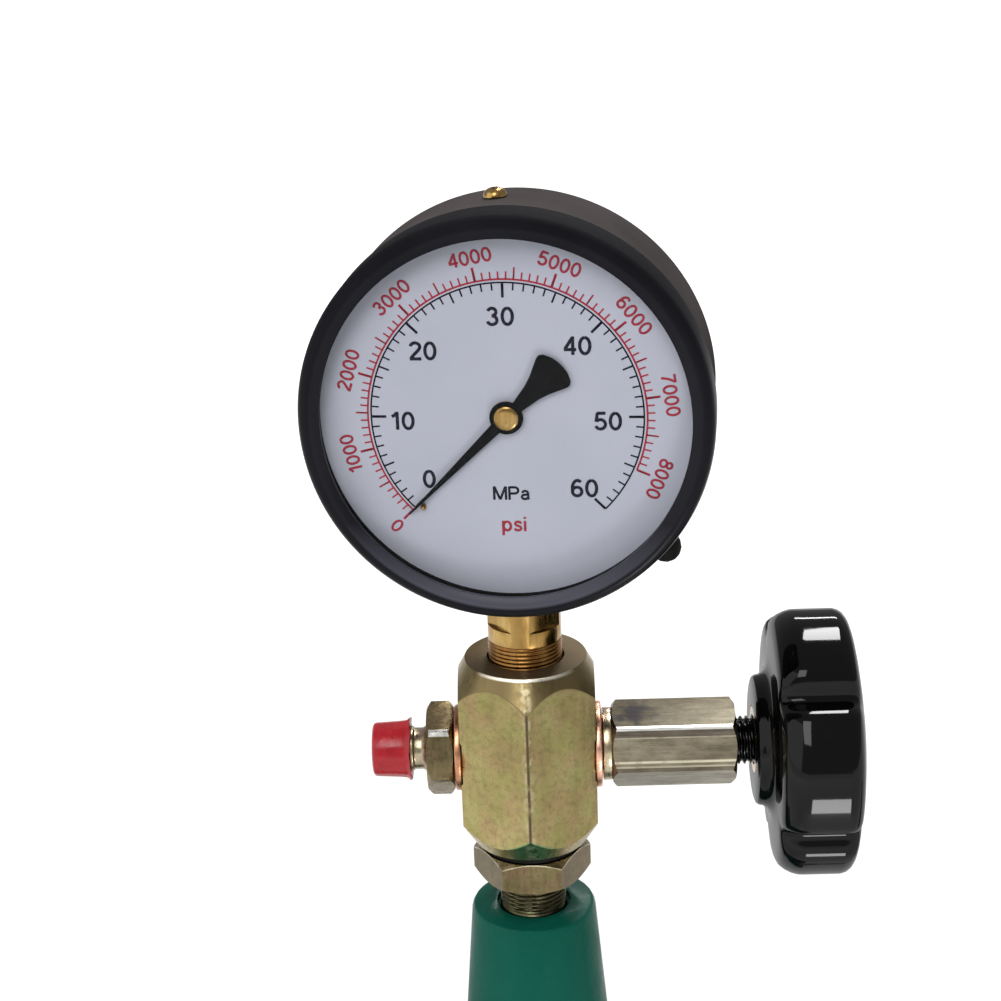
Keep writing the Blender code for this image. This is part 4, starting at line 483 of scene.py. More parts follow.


# %% [markdown]
# Some marks lie at one place of a piece: a stain, a scratched corner, a worn line, a painted
# highlight, a painted shade. A coordinate along a direction picks the place, and a narrow range of
# it becomes a mask from 0 to 1.

# %% Helpers that mask one place of a finish
ORIGIN = (0, 0, 0)
UP = (0, 0, 1)


def vector_math(tree, operation, first, second=ORIGIN, output=0):
    return wired(tree, "ShaderNodeVectorMath", {0: first, 1: second}, output,
                 operation=operation)


def offset_from(material, origin):
    tree = material.node_tree
    place = wired(tree, "ShaderNodeTexCoord", {}, "Object")
    return vector_math(tree, "SUBTRACT", place, origin)


def along(material, direction, origin=ORIGIN):
    """How far a point lies from the origin along a direction, in metres."""
    return vector_math(material.node_tree, "DOT_PRODUCT", offset_from(material, origin),
                       direction, "Value")


def distance_from(material, origin, stretch=(1, 1, 1)):
    tree = material.node_tree
    offset = vector_math(tree, "MULTIPLY", offset_from(material, origin), stretch)
    return vector_math(tree, "LENGTH", offset, output="Value")


def calculate(operation, first, second=0.0):
    return wired(first.id_data, "ShaderNodeMath", {0: first, 1: second}, operation=operation)


def times(first, second):
    return calculate("MULTIPLY", first, second)


def past(value, start, end, share=1.0):
    """0 up to the start, and the whole share from the end on."""
    return spread(value, 0.0, share, start, end)


def near(value, middle, half_width):
    """1 where the value is at the middle, 0 from the half width on."""
    gap = calculate("ABSOLUTE", calculate("SUBTRACT", value, middle))
    return spread(gap, 1.0, 0.0, 0.4 * half_width, half_width)


# %% [markdown]
# ### Green stand paint
# The casting is dipped in a dark green enamel. It is glossy, with a soft orange skin and a faint
# change of tone where the coat is thicker.

# %% Mix the green enamel
green_paint = new_finish("green_enamel", 0.0, 0.3, Specular_IOR_Level=0.09)
to_shader(green_paint, "Base Color", ramp(noise(green_paint, 22), [
    (0.32, (0.0020, 0.068, 0.045)), (0.55, (0.0027, 0.085, 0.057)),
    (0.75, (0.0040, 0.100, 0.069))]))
to_shader(green_paint, "Roughness", spread(noise(green_paint, 90), 0.22, 0.40))
skin(green_paint, noise(green_paint, 260, 3), 0.5, 0.00025)
print("mixed", green_paint.name)

# %% [markdown]
# ### Yellow zinc
# The pressure block, the nut and the outlet are steel with yellow-passivated zinc. It is a dull
# metal of olive gold, cloudy, with green and pink tints, small dark specks and a faint grain from
# the mill. All its kinds are mixed by one function, from a dark, a middle and a light tone.

# %% Mix a zinc finish
def tinted(colour, factors):
    return tuple(part * factor for part, factor in zip(colour, factors))


def zinc_finish(name, tones, rough):
    material = new_finish(name, metallic=1.0, roughness=rough)
    low, middle, high = tones
    clouds = ramp(noise(material, 70, 6, (1, 1, 0.7), 0.65),
                  [(0.30, low), (0.50, middle), (0.70, high)])
    tints = ramp(noise(material, 160, 3, (1, 1, 1), 0.5), [
        (0.36, tinted(middle, (0.88, 1.10, 0.85))), (0.50, middle),
        (0.64, tinted(middle, (1.14, 0.92, 1.15)))])
    to_shader(material, "Base Color", blend(0.40, clouds, tints))
    mottle = spread(noise(material, 620, 4, (1, 1, 1), 0.7), 0.78, 1.14, 0.36, 0.66)
    shade(material, ramp(mottle, [(0.7, (0.7, 0.7, 0.7)), (1.0, (1.0, 1.0, 1.0))]))
    specks = past(noise(material, 1500, 2), 0.66, 0.74, 0.55)
    lay_over(material, specks, tinted(low, (0.4, 0.4, 0.4)))
    grain = noise(material, 800, 4, (1, 1, 0.10))
    to_shader(material, "Roughness", spread(grain, rough - 0.07, rough + 0.12))
    skin(material, grain, 0.25, 0.00005)
    print("mixed", name)
    return material


# %% [markdown]
# The block's own marks come on top of that. Its faces are painted paler low down and darker on the
# right-hand side, its upper cone is turned and browner, with painted shade darkest at its front and
# back, and its lower cone has a painted green reflection of the stand. A cone's surface is found by
# a height plus so much of the distance from the axis.

# %% Shade the block's faces and cones
BLOCK_TONES = ((0.235, 0.185, 0.075), (0.335, 0.275, 0.118), (0.430, 0.365, 0.175))
UPPER_CONE = 1.815
LOWER_CONE = -1.544
yellow_zinc = zinc_finish("yellow_zinc", BLOCK_TONES, 0.30)
block_height = along(yellow_zinc, UP)
block_side = along(yellow_zinc, (1, 0, 0))
block_front = along(yellow_zinc, (0, -1, 0))
block_radius = distance_from(yellow_zinc, ORIGIN, (1, 1, 0))
# painted light and shade: the faces are paler low down, and the right-hand face is darker than the
# left-hand one
shade(yellow_zinc, times(spread(block_height, 1.14, 0.94, 0.2130, 0.2560),
                         spread(block_side, 1.0, 0.81, -0.0005, 0.0005)))
upper_cone = calculate("ADD", block_height, times(block_radius, UPPER_CONE))
on_cone = times(past(upper_cone, 0.29240, 0.29275), past(block_height, 0.2500, 0.2505))
# painted shade: the cone's brown tone is darkest round the corners at the front and back
lay_over(yellow_zinc, on_cone, blend(near(block_side, 0.0, 0.0160), (0.225, 0.172, 0.080),
                                     (0.172, 0.130, 0.060)))
lower_cone = calculate("ADD", block_height, times(block_radius, LOWER_CONE))
# painted reflection of the green stand on the front of the lower cone
painted_green_reflection = times(spread(lower_cone, 0.85, 0.0, 0.18690, 0.18725),
                    near(block_side, 0.0, 0.0080))
painted_green_reflection = times(painted_green_reflection, past(block_front, 0.0080, 0.0100))
lay_over(yellow_zinc, painted_green_reflection, (0.060, 0.200, 0.095))
print("shaded the block's faces and cones")

# %% [markdown]
# The turned top face is brown and matt, with painted shade on its left-hand side, its rim has a
# painted highlight at the front, and the front corner is worn and scratched dark. A noise breaks
# the scratch up, so that it isn't a ruled line.

# %% Shade the block's top, light its rim and wear its corner
TOP_ROUGH = 0.72
top_mask = past(block_height, 0.26345, 0.26362, 0.85)
# painted shade on the left-hand side of the top face
lay_over(yellow_zinc, top_mask, blend(past(block_side, -0.0130, -0.0040),
                                      (0.062, 0.036, 0.014), (0.170, 0.126, 0.080)))
to_shader(yellow_zinc, "Roughness", calculate("MAXIMUM", wired_to(yellow_zinc, "Roughness"),
                                              times(top_mask, TOP_ROUGH)))
# painted highlight along the front of the rim
rim_highlight = times(near(block_radius, 0.01620, 0.00036), past(block_front, 0.0100, 0.0150))
rim_highlight = times(rim_highlight, past(block_height, 0.2620, 0.2625))
lay_over(yellow_zinc, rim_highlight, (0.900, 0.850, 0.720))
corner_wear = times(near(block_side, 0.0, 0.0018),
                    past(noise(yellow_zinc, 520, 3), 0.45, 0.60, 0.40))
lay_over(yellow_zinc, corner_wear, (0.560, 0.500, 0.330))
scratch = times(near(block_side, 0.0, 0.00050), past(block_front, 0.0200, 0.0203))
scratch = times(scratch, spread(noise(yellow_zinc, 300, 3), 0.55, 1.0, 0.36, 0.48))
lay_over(yellow_zinc, scratch, (0.092, 0.068, 0.043))
print("wore the block's top, rim and corner")

# %% [markdown]
# The nut and the outlet are browner than the block, the stud is darkened with painted shade, and
# the necks at the washers are pale. The nut's turned upper edge has a painted highlight. So has the
# corner above the front face of the outlet's hexagon, here and later on the valve, and the
# outlet's upper face is painted lighter.

# %% Mix the nut's, the stud's and the outlet's zinc
NUT_CONE = 0.654
brown_zinc = zinc_finish("browned_zinc", (
    (0.085, 0.062, 0.031), (0.145, 0.112, 0.056), (0.225, 0.184, 0.100)), rough=0.26)
# painted highlight on the nut's turned upper cone
nut_edge_highlight = calculate("ADD", along(brown_zinc, UP),
                     times(distance_from(brown_zinc, ORIGIN, (1, 1, 0)), NUT_CONE))
nut_edge_highlight = times(near(nut_edge_highlight, 0.21726, 0.00040),
                 spread(noise(brown_zinc, 300, 3), 0.25, 1.0, 0.38, 0.58))
lay_over(brown_zinc, nut_edge_highlight, (0.520, 0.460, 0.330))

# painted shade: the stud's zinc is darkened for the shade under the nut
stud_shade_zinc = zinc_finish("shade_darkened_zinc", (
    (0.055, 0.052, 0.028), (0.105, 0.098, 0.054), (0.185, 0.168, 0.096)), rough=0.30)

SIDE_CORNER = (0, -math.cos(CORNER), math.sin(CORNER))
SIDE_AXIS = (0, 0, PORT_HEIGHT)
PAINTED_HIGHLIGHT = (0.950, 0.930, 0.880)
outlet_zinc = zinc_finish("outlet_zinc", (
    (0.145, 0.106, 0.050), (0.200, 0.150, 0.076), (0.255, 0.200, 0.108)), rough=0.26)
# painted light: the hexagon is lighter above its upper corner
shade(outlet_zinc, spread(along(outlet_zinc, UP), 1.0, 1.15, 0.2456, 0.2462))
# painted highlight along the corner above the front face
outlet_corner_highlight = past(along(outlet_zinc, SIDE_CORNER, SIDE_AXIS), 0.01208, 0.01217)
lay_over(outlet_zinc, outlet_corner_highlight, PAINTED_HIGHLIGHT)

# the outlet's neck, on the left, is a little duller than the valve's collar
pale_zinc = zinc_finish("pale_zinc", (
    (0.340, 0.262, 0.168), (0.480, 0.392, 0.264), (0.640, 0.545, 0.400)), rough=0.24)
shade(pale_zinc, spread(along(pale_zinc, (1, 0, 0)), 0.82, 1.0, -0.0010, 0.0010))

# %% [markdown]
# ### Grey zinc
# The valve housing and the tank's lid have the same plating, but its yellow has faded: greyer,
# with smoky patches and draw marks along the bar. The housing has a dark stain on its upper face.

# %% Mix the grey zinc and its stain
MIDDLE_FACE = math.radians(14.5)         # how far the middle face's normal looks up
FACE_NORMAL = (0, -math.cos(MIDDLE_FACE), math.sin(MIDDLE_FACE))
FACE_ACROSS = (0, math.sin(MIDDLE_FACE), math.cos(MIDDLE_FACE))
grey_zinc = new_finish("faded_zinc", metallic=1.0, roughness=0.30)
to_shader(grey_zinc, "Base Color", ramp(noise(grey_zinc, 95, 6, (0.5, 1, 1), 0.62), [
    (0.28, (0.150, 0.125, 0.085)), (0.48, (0.270, 0.235, 0.165)),
    (0.68, (0.380, 0.340, 0.250))]))
fine_smoke = past(noise(grey_zinc, 700, 4, (0.5, 1, 1), 0.7), 0.45, 0.70, 0.5)
lay_over(grey_zinc, fine_smoke, (0.120, 0.098, 0.070))
across_face = along(grey_zinc, FACE_ACROSS, SIDE_AXIS)
# painted light and shade: the middle face is brighter, the upper face much darker, the lower a
# little darker
shade(grey_zinc, times(spread(across_face, 1.30, 0.25, 0.0057, 0.0061),
                       spread(across_face, 0.66, 1.0, -0.0050, -0.0045)))
stain_reach = distance_from(grey_zinc, (0.0285, -0.0022, 0.2470), (1.0, 1.2, 1.0))
stain_wave = spread(noise(grey_zinc, 330, 4), -0.0030, 0.0030)
stain = spread(calculate("ADD", stain_reach, stain_wave), 0.85, 0.0, 0.0020, 0.0062)
lay_over(grey_zinc, stain, (0.020, 0.018, 0.020))
draw_marks = noise(grey_zinc, 1000, 4, (0.06, 1, 1))
to_shader(grey_zinc, "Roughness", spread(draw_marks, 0.22, 0.42))
skin(grey_zinc, draw_marks, 0.3, 0.00005)
print("mixed", grey_zinc.name)

# %% [markdown]
# The middle face of the housing shows a dark strip under its upper corner and bright lines along
# it:
# painted shade and painted highlights for a narrow flat and rounded edges there. The corner above
# it has a painted highlight.

# %% Paint shade and highlights on the valve's middle face
on_face = past(along(grey_zinc, FACE_NORMAL, SIDE_AXIS), 0.01005, 0.01015)
# painted shade in a strip below the upper corner
flat_shade_strip = times(on_face, past(across_face, 0.0030, 0.0035, 0.62))
lay_over(grey_zinc, flat_shade_strip, (0.110, 0.088, 0.078))
# painted highlight lines along the middle face
edge_highlight_lines = calculate("MAXIMUM", times(near(across_face, 0.0032, 0.00025), 0.5),
                  near(across_face, -0.0033, 0.00045))
edge_highlight_lines = calculate("MAXIMUM", edge_highlight_lines, times(near(across_face, -0.0046, 0.00030), 0.5))
edge_highlight_lines = times(times(edge_highlight_lines, on_face),
              spread(noise(grey_zinc, 260, 3, (1, 0.2, 0.2)), 0.5, 1.0, 0.34, 0.46))
lay_over(grey_zinc, edge_highlight_lines, (0.900, 0.830, 0.620))
# painted highlight along the upper corner
valve_corner_highlight = past(along(grey_zinc, SIDE_CORNER, SIDE_AXIS), 0.01143, 0.01151)
lay_over(grey_zinc, valve_corner_highlight, PAINTED_HIGHLIGHT)
print("wore the valve's middle face")

# %% [markdown]
# ### Brass, copper and steel
# Machined brass is bright and deep yellow, and browner where fingers and oil have been. Copper
# washers are soft and pink. The lever and the pump are plain machined steel.

# %% Mix the bare metals
def bare_metal(name, tones, scale, rough, stretch=(1, 1, 1), cloud_stretch=(1, 1, 1)):
    material = new_finish(name, metallic=1.0, roughness=rough)
    clouds = noise(material, scale, 5, cloud_stretch)
    to_shader(material, "Base Color", ramp(clouds, list(zip((0.3, 0.52, 0.75), tones))))
    grain = noise(material, 1100, 3, stretch)
    to_shader(material, "Roughness", spread(grain, rough - 0.06, rough + 0.10))
    skin(material, grain, 0.2, 0.00004)
    print("mixed", name)
    return material


brass = bare_metal("machined_brass", (
    (0.190, 0.104, 0.027), (0.345, 0.212, 0.068), (0.54, 0.385, 0.155)),
    scale=230, rough=0.22, stretch=(1, 1, 0.2), cloud_stretch=(1, 1, 0.22))
thread_brass = bare_metal("oiled_brass", (
    (0.170, 0.064, 0.015), (0.280, 0.138, 0.039), (0.410, 0.250, 0.088)),
    scale=200, rough=0.28, stretch=(1, 1, 0.2), cloud_stretch=(1, 1, 0.3))
copper = bare_metal("soft_copper", (
    (0.50, 0.24, 0.15), (0.74, 0.41, 0.28), (0.90, 0.58, 0.44)), scale=260, rough=0.28)
dark_copper = bare_metal("browned_copper", (
    (0.34, 0.150, 0.075), (0.52, 0.255, 0.145), (0.66, 0.360, 0.220)), scale=260, rough=0.30)
steel = bare_metal("machined_steel", (
    (0.34, 0.34, 0.34), (0.48, 0.48, 0.48), (0.58, 0.58, 0.57)), scale=80, rough=0.28)
black_steel = bare_metal("blackened_steel", (
    (0.008, 0.008, 0.009), (0.020, 0.020, 0.022), (0.070, 0.070, 0.070)), scale=500, rough=0.16)

# %% [markdown]
# ### Black finishes
# Several blacks lie side by side: the case has a dull, slightly brown enamel, the bezel a satin
# one, the knob is a polished moulding, and the rubber pieces are matt. The slope inside the bezel's
# crown has a painted reflection, paler at the bottom, and fine dust dulls the bezel's upper half.

# %% Mix the blacks
def black_finish(name, dark, light, rough, bump, scale, **sockets):
    material = new_finish(name, metallic=0.0, roughness=rough, **sockets)
    two_tones(material, scale, 4, dark, light)
    fine = noise(material, 900, 3)
    to_shader(material, "Roughness", spread(fine, rough - 0.04, rough + 0.05))
    skin(material, fine, bump, 0.00005)
    print("mixed", name)
    return material


case_black = black_finish("case_enamel", (0.062, 0.055, 0.054), (0.085, 0.076, 0.074),
                          rough=0.66, bump=0.12, scale=40, Specular_IOR_Level=0.0)
knob_black = black_finish("knob_moulding", (0.0010, 0.0010, 0.0013), (0.0022, 0.0022, 0.0028),
                          rough=0.30, bump=0.04, scale=30, Specular_IOR_Level=0.0,
                          Coat_Weight=0.42, Coat_Roughness=0.07)
rubber = black_finish("matt_rubber", (0.006, 0.006, 0.006), (0.014, 0.013, 0.012),
                      rough=0.60, bump=0.5, scale=120, Specular_IOR_Level=0.05)
pointer_black = black_finish("pointer_enamel", (0.003, 0.003, 0.0035), (0.006, 0.006, 0.007),
                             rough=0.45, bump=0.1, scale=90, Specular_IOR_Level=0.1)
bezel_black = black_finish("bezel_enamel", (0.0050, 0.0050, 0.0070), (0.0080, 0.0080, 0.0110),
                           rough=0.28, bump=0.10, scale=60, Specular_IOR_Level=0.08)
bezel_height = along(bezel_black, UP)
inner_reach = distance_from(bezel_black, (-0.0029, 0, GAUGE_HEIGHT), (1.005, 0, 1))
inner_slope_sheen = times(spread(inner_reach, 1.0, 0.0, 0.0474, 0.0481),
                    spread(bezel_height, 0.7, 0.05, GAUGE_HEIGHT - 0.044, GAUGE_HEIGHT - 0.025))
# painted reflection on the crown's inner slope, paler towards the bottom
lay_over(bezel_black, inner_slope_sheen, (0.095, 0.095, 0.122))
to_shader(bezel_black, "Roughness", spread(bezel_height, 0.28, 0.80, GAUGE_HEIGHT - 0.005,
                                           GAUGE_HEIGHT + 0.030))

# %% [markdown]
# ### Cap plastic, dial and glass
# The outlet's cap is a soft red plastic that lets a little light in. The dial is white enamel with
# a cool tone. The window is clear: it lets the dial show and only shines at flat angles, so its
# opacity follows how flat it is seen.

# %% Mix the plastic, the dial, its inks and the glass
red_plastic = new_finish("red_cap_plastic", 0.0, 0.30, Subsurface_Weight=0.12,
                         Subsurface_Radius=(1.0, 0.2, 0.1), Subsurface_Scale=0.002,
                         Specular_IOR_Level=0.4)
two_tones(red_plastic, 200, 3, (0.30, 0.0045, 0.010), (0.40, 0.011, 0.018))
red_fine = noise(red_plastic, 700, 3)
to_shader(red_plastic, "Roughness", spread(red_fine, 0.20, 0.34))
skin(red_plastic, red_fine, 0.3, 0.00008)

dial_white = new_finish("dial_enamel", 0.0, 0.5, Specular_IOR_Level=0.2)
two_tones(dial_white, 35, 3, (0.57, 0.59, 0.69), (0.61, 0.63, 0.73))
to_shader(dial_white, "Roughness", spread(noise(dial_white, 500), 0.45, 0.58))


def ink_finish(name, dark, light):
    material = new_finish(name, 0.0, 0.55, Specular_IOR_Level=0.2)
    two_tones(material, 700, 3, dark, light)
    return material


ink_black = ink_finish("black_dial_ink", (0.008, 0.008, 0.020), (0.016, 0.016, 0.034))
ink_red = ink_finish("red_dial_ink", (0.42, 0.034, 0.060), (0.50, 0.050, 0.080))

glass = new_finish("window_glass", 0.0, 0.02, IOR=1.45)
two_tones(glass, 30, 2, (0.010, 0.012, 0.014), (0.016, 0.018, 0.020))
flatness = wired(glass.node_tree, "ShaderNodeLayerWeight", {"Blend": 0.25}, "Facing")
to_shader(glass, "Alpha", spread(flatness, 0.03, 0.60, 0.0, 1.0))
print("mixed the plastic, the dial, the inks and the glass")

# %% [markdown]
# Every node of the frame gets its finish now, also the sealed ones. The pieces that follow stand
# for those that show.

# %% Give every node its finish
FINISHES = {
    "green_paint": green_paint, "zinc_yellow": yellow_zinc, "zinc_grey": grey_zinc,
    "copper": copper, "brass": brass, "steel": steel, "black_steel": black_steel,
    "case_black": case_black, "bezel_black": bezel_black, "knob_black": knob_black,
    "rubber": rubber, "red_plastic": red_plastic, "dial_white": dial_white, "glass": glass,
    "pointer_black": pointer_black,
}
for node, solid in nodes.items():
    solid.data.materials.clear()
    solid.data.materials.append(FINISHES[slot_of[node]])
print("finished", len(nodes), "nodes")

# %% [markdown]
# ## The pressure block
# A thick hexagon of plated steel carries everything. Its upper and lower ends are turned to a
# cone, which cuts the six faces off in arcs. The gauge's port is bored from above, and each side
# has a shallow round seat for a copper washer.

# %% Make the pressure block
BLOCK_LOW = 0.2108
BLOCK_TOP = 0.2637
STUD_LOW = 0.1640
OIL_BORE = 0.0025
SIDE_SEAT = [(0, 0.020), (0.0121, 0.020), (0.0121, 0.0175), (0.0073, 0.0175), (0.0073, 0.009),
             (0, 0.009)]
GAUGE_PORT = [(0, 0.2657), (0.0103, 0.2657), (0.0103, 0.2457), (OIL_BORE, 0.2457),
              (OIL_BORE, 0.2100), (0, 0.2100)]
block = hexagon(flats=0.036, low=BLOCK_LOW, high=BLOCK_TOP, end_radii=(0.0156, 0.0161),
                chamfers=(0.0080, 0.0085), corner=QUARTER, edge=0.0)
carve(block, turned(GAUGE_PORT))
for side in (TO_LEFT, TO_RIGHT):
    seat = turned(SIDE_SEAT)
    seat.data.transform(side)
    carve(block, seat)
round_edges(block, width=0.0006, segments=3, degrees=20)
smooth(block, 24)
fit(block, "pressure_block_body", yellow_zinc, "pressure_block")

# %% [markdown]
# The block screws into the stand with a stud. Its thread shows between the lock nut and the neck.

# %% Cut the stud's thread
stud = thread(radius=0.0090, depth=0.0006, pitch=0.00125, low=0.1902,
              high=BLOCK_LOW + 0.0005)
fit(stud, "block_stud", stud_shade_zinc, "pressure_block")
stud_end = turned([(0, 0.1903), (0.0080, 0.1903), (0.0088, 0.1895), (0.0088, 0.1648),
                   (0.0082, STUD_LOW), (OIL_BORE, STUD_LOW), (OIL_BORE, 0.1800), (0, 0.1800)], 48)
fit(stud_end, "block_stud_end", stud_shade_zinc, "pressure_block")

# %% [markdown]
# ## Lock nut and seal
# A thin hexagon nut locks the block against the stand's stud, and a rubber ring seals it.

# %% Make the lock nut and its seal
nut = hexagon(flats=0.0277, low=0.1994, high=0.2082, end_radii=(0.01385, 0.01385),
              chamfers=(0.0014, 0.0014), corner=0.0, edge=0.0)
carve(nut, turned([(0, 0.2092), (0.0101, 0.2092), (0.0093, 0.2074), (0.0093, 0.2002),
                   (0.0101, 0.1984), (0, 0.1984)], 72))
round_edges(nut, width=0.0003, segments=2, degrees=22)
smooth(nut, 24)
fit(nut, "lock_nut_body", brown_zinc, "lock_nut")
seal = turned([(0.0093, 0.2105), (0.0138, 0.2105), (0.0138, 0.2085), (0.0093, 0.2085),
               (0.0093, 0.2105)], 96, 0.0006)
fit(seal, "block_seal_ring", rubber, "block_seal")

# %% [markdown]
# ## Copper washers
# Both side fittings are sealed by a soft copper ring, squeezed in its seat and shiny at its edge.

# %% Make the washers
for node, side, finish in (("outlet_washer", TO_LEFT, dark_copper),
                           ("valve_washer", TO_RIGHT, copper)):
    ring = turned([(0.0073, 0.0196), (0.0115, 0.0196), (0.0115, 0.0178), (0.0073, 0.0178),
                   (0.0073, 0.0196)], 96, 0.0005, 4)
    fit(ring, node + "_ring", finish, node, side)

# %% [markdown]
# ## Capped outlet
# The outlet is a short hexagon with a smooth neck and a thread for the injector's pipe. The
# hexagon is cut from bar, the neck is turned with its small steps, and the thread is rolled.

# %% Make the outlet connector
outlet = hexagon(flats=0.022, low=0.0199, high=0.0270, end_radii=(0.011, 0.011),
                 chamfers=(0.0012, 0.0012), corner=CORNER - QUARTER, edge=0.0009)
fit(outlet, "outlet_hexagon", outlet_zinc, "outlet_connector", TO_LEFT)
outlet_neck = turned([
    (0, 0.0400), (0.0026, 0.0408), (0.0050, 0.0408), (0.0050, 0.0322), (0.0061, 0.0319),
    (0.0061, 0.0308), (0.0056, 0.0305), (0.0056, 0.0284), (0.0060, 0.0276), (0.0066, 0.0268),
    (0.0066, 0.0200), (0.0070, 0.0198), (0.0070, 0.0093), (0, 0.0093)], 96, 0.0003, 2)
fit(outlet_neck, "outlet_neck", pale_zinc, "outlet_connector", TO_LEFT)
outlet_thread = thread(radius=0.0056, depth=0.0005, pitch=0.00125, low=0.0327, high=0.0402)
fit(outlet_thread, "outlet_thread", pale_zinc, "outlet_connector", TO_LEFT)

# %% [markdown]
# A soft red cap is pressed over the outlet's thread. Its skirt has small folds and ends in a thin,
# uneven lip, so the cap is turned first and its points are then pushed in and out. Three waves of
# different count make the folds, so that they don't repeat.

# %% Make the red cap
CAP_CORE = 0.005              # the points inside this radius stay
CAP_LIP = 0.0328              # the lip lies below this height
cap = turned([
    (0, 0.0418), (0.0050, 0.0418), (0.0064, 0.0417), (0.0070, 0.0413), (0.0072, 0.0407),
    (0.0073, 0.0390), (0.0074, 0.0370), (0.0075, 0.0350), (0.0076, 0.0338), (0.0077, 0.0329),
    (0.0079, 0.0323), (0.0084, 0.0318), (0.0085, 0.0315), (0.0078, 0.0317), (0.0069, 0.0321),
    (0.0065, 0.0333), (0.0065, 0.0405), (0.0057, 0.0411), (0, 0.0411)], 120)
for point in cap.data.vertices:
    reach = math.hypot(point.co.x, point.co.y)
    angle = math.atan2(point.co.y, point.co.x)
    if reach > CAP_CORE:
        low_share = max(0, min(1, (0.0405 - point.co.z) / 0.009))
        fold = (math.sin(11 * angle) + 0.6 * math.sin(7 * angle + 1.3)
                + 0.5 * math.sin(17 * angle + 0.4))
        push = 1 + fold * (0.0015 + 0.005 * low_share)
        point.co.x *= push
        point.co.y *= push
        if point.co.z < CAP_LIP:
            point.co.z += 0.00014 * math.sin(5 * angle + 2.0) + 0.00006 * math.sin(13 * angle)
fit(cap, "outlet_cap_soft", red_plastic, "outlet_cap", TO_LEFT)

# %% [markdown]
# ## Shut-off valve
# A long hexagon holds the needle. It is bored from its outer end for the spindle, and narrower
# behind for the needle. Its collar sits on the right-hand washer.

# %% Make the valve housing
housing = hexagon(flats=0.0205, low=0.0224, high=0.0551, end_radii=(0.01025, 0.01025),
                  chamfers=(0.0012, 0.0012), corner=-CORNER - QUARTER, edge=0.0)
carve(housing, turned([(0, 0.0561), (0.0072, 0.0561), (0.0068, 0.0543), (0.0068, 0.0335),
                       (0.0026, 0.0335), (0.0026, 0.0214), (0, 0.0214)], 72))
round_edges(housing, width=0.0006, segments=3, degrees=22)
smooth(housing, 24)
fit(housing, "valve_hexagon", grey_zinc, "valve_housing", TO_RIGHT)
collar = turned([
    (0.0026, 0.0226), (0.0092, 0.0226), (0.00975, 0.0221), (0.00975, 0.0199), (0.0070, 0.0199),
    (0.0070, 0.0093), (0.0015, 0.0093), (0.0015, 0.0141), (0.0026, 0.0153), (0.0026, 0.0226)],
    96, 0.00025, 2)
fit(collar, "valve_collar", pale_zinc, "valve_housing", TO_RIGHT)

# %% [markdown]
# The black spindle screws into the end of the hexagon and carries the knob. Its thread shows in
# the gap between the two, and a plain end goes up into the knob.

# %% Cut the spindle's thread
spindle = thread(radius=0.0065, depth=0.0008, pitch=0.0015, low=0.0373, high=0.0612)
fit(spindle, "spindle_thread", black_steel, "valve_spindle", TO_RIGHT)
spindle_end = turned([(0, 0.0796), (0.0060, 0.0796), (0.0064, 0.0792), (0.0064, 0.0611),
                      (0, 0.0611)], 48)
fit(spindle_end, "spindle_end", black_steel, "valve_spindle", TO_RIGHT)

# %% [markdown]
# ## The knob
# The knob is a black moulding with five lobes. A round blank is turned first, with its hub, rim and
# domed front. The valleys between the lobes are then pressed in: each point moves towards the
# axis, most at the rim and in the middle of a valley, and not at all at the hub.

# %% Turn and shape the knob
KNOB_RADIUS = 0.0360
KNOB_NECK = 0.0184
LOBES = 5
BULGE = 0.0012                # lowers a lobe's sides
NOTCH = 0.0043                # deepens the valley between two lobes
NOTCH_SHARPNESS = 14
FIRST_VALLEY = -CORNER - QUARTER
knob = turned([
    (0, 0.0887), (0.0080, 0.0885), (0.0160, 0.0879), (0.0230, 0.0870), (0.0290, 0.0860),
    (0.0318, 0.0854), (0.0336, 0.0848), (0.0348, 0.0840), (0.0356, 0.0829), (0.0360, 0.0815),
    (0.0360, 0.0811), (0.0360, 0.0770), (0.0360, 0.0724), (0.0360, 0.0718), (0.0359, 0.0703),
    (0.0354, 0.0687), (0.0345, 0.0670), (0.0334, 0.0657), (0.0320, 0.0650), (0.0290, 0.0647),
    (0.0240, 0.0645), (0.0206, 0.0643), (0.0192, 0.0639), (0.0181, 0.0630), (0.01745, 0.0619),
    (0.01735, 0.0611), (0.0169, 0.0604), (0.0160, 0.0601), (0.0091, 0.0601), (0.0091, 0.0603),
    (0.0091, 0.0799), (0, 0.0799)], 360)
for point in knob.data.vertices:
    reach = math.hypot(point.co.x, point.co.y)
    if reach > KNOB_NECK:
        angle = math.atan2(point.co.y, point.co.x) - FIRST_VALLEY
        wave = (1 + math.cos(LOBES * angle)) / 2
        depth = BULGE * wave + NOTCH * wave ** NOTCH_SHARPNESS
        share = min(1, (reach - KNOB_NECK) / (KNOB_RADIUS - KNOB_NECK)) ** 2
        push = 1 - depth * share / reach
        point.co.x *= push
        point.co.y *= push
smooth(knob, 40)
fit(knob, "lobed_knob", knob_black, "star_knob", TO_RIGHT)

# %% [markdown]
# ## The gauge's case and bezel
# The case is a spun steel pot, open to the front. The stem enters it from below, so a round hole is
# carved there.

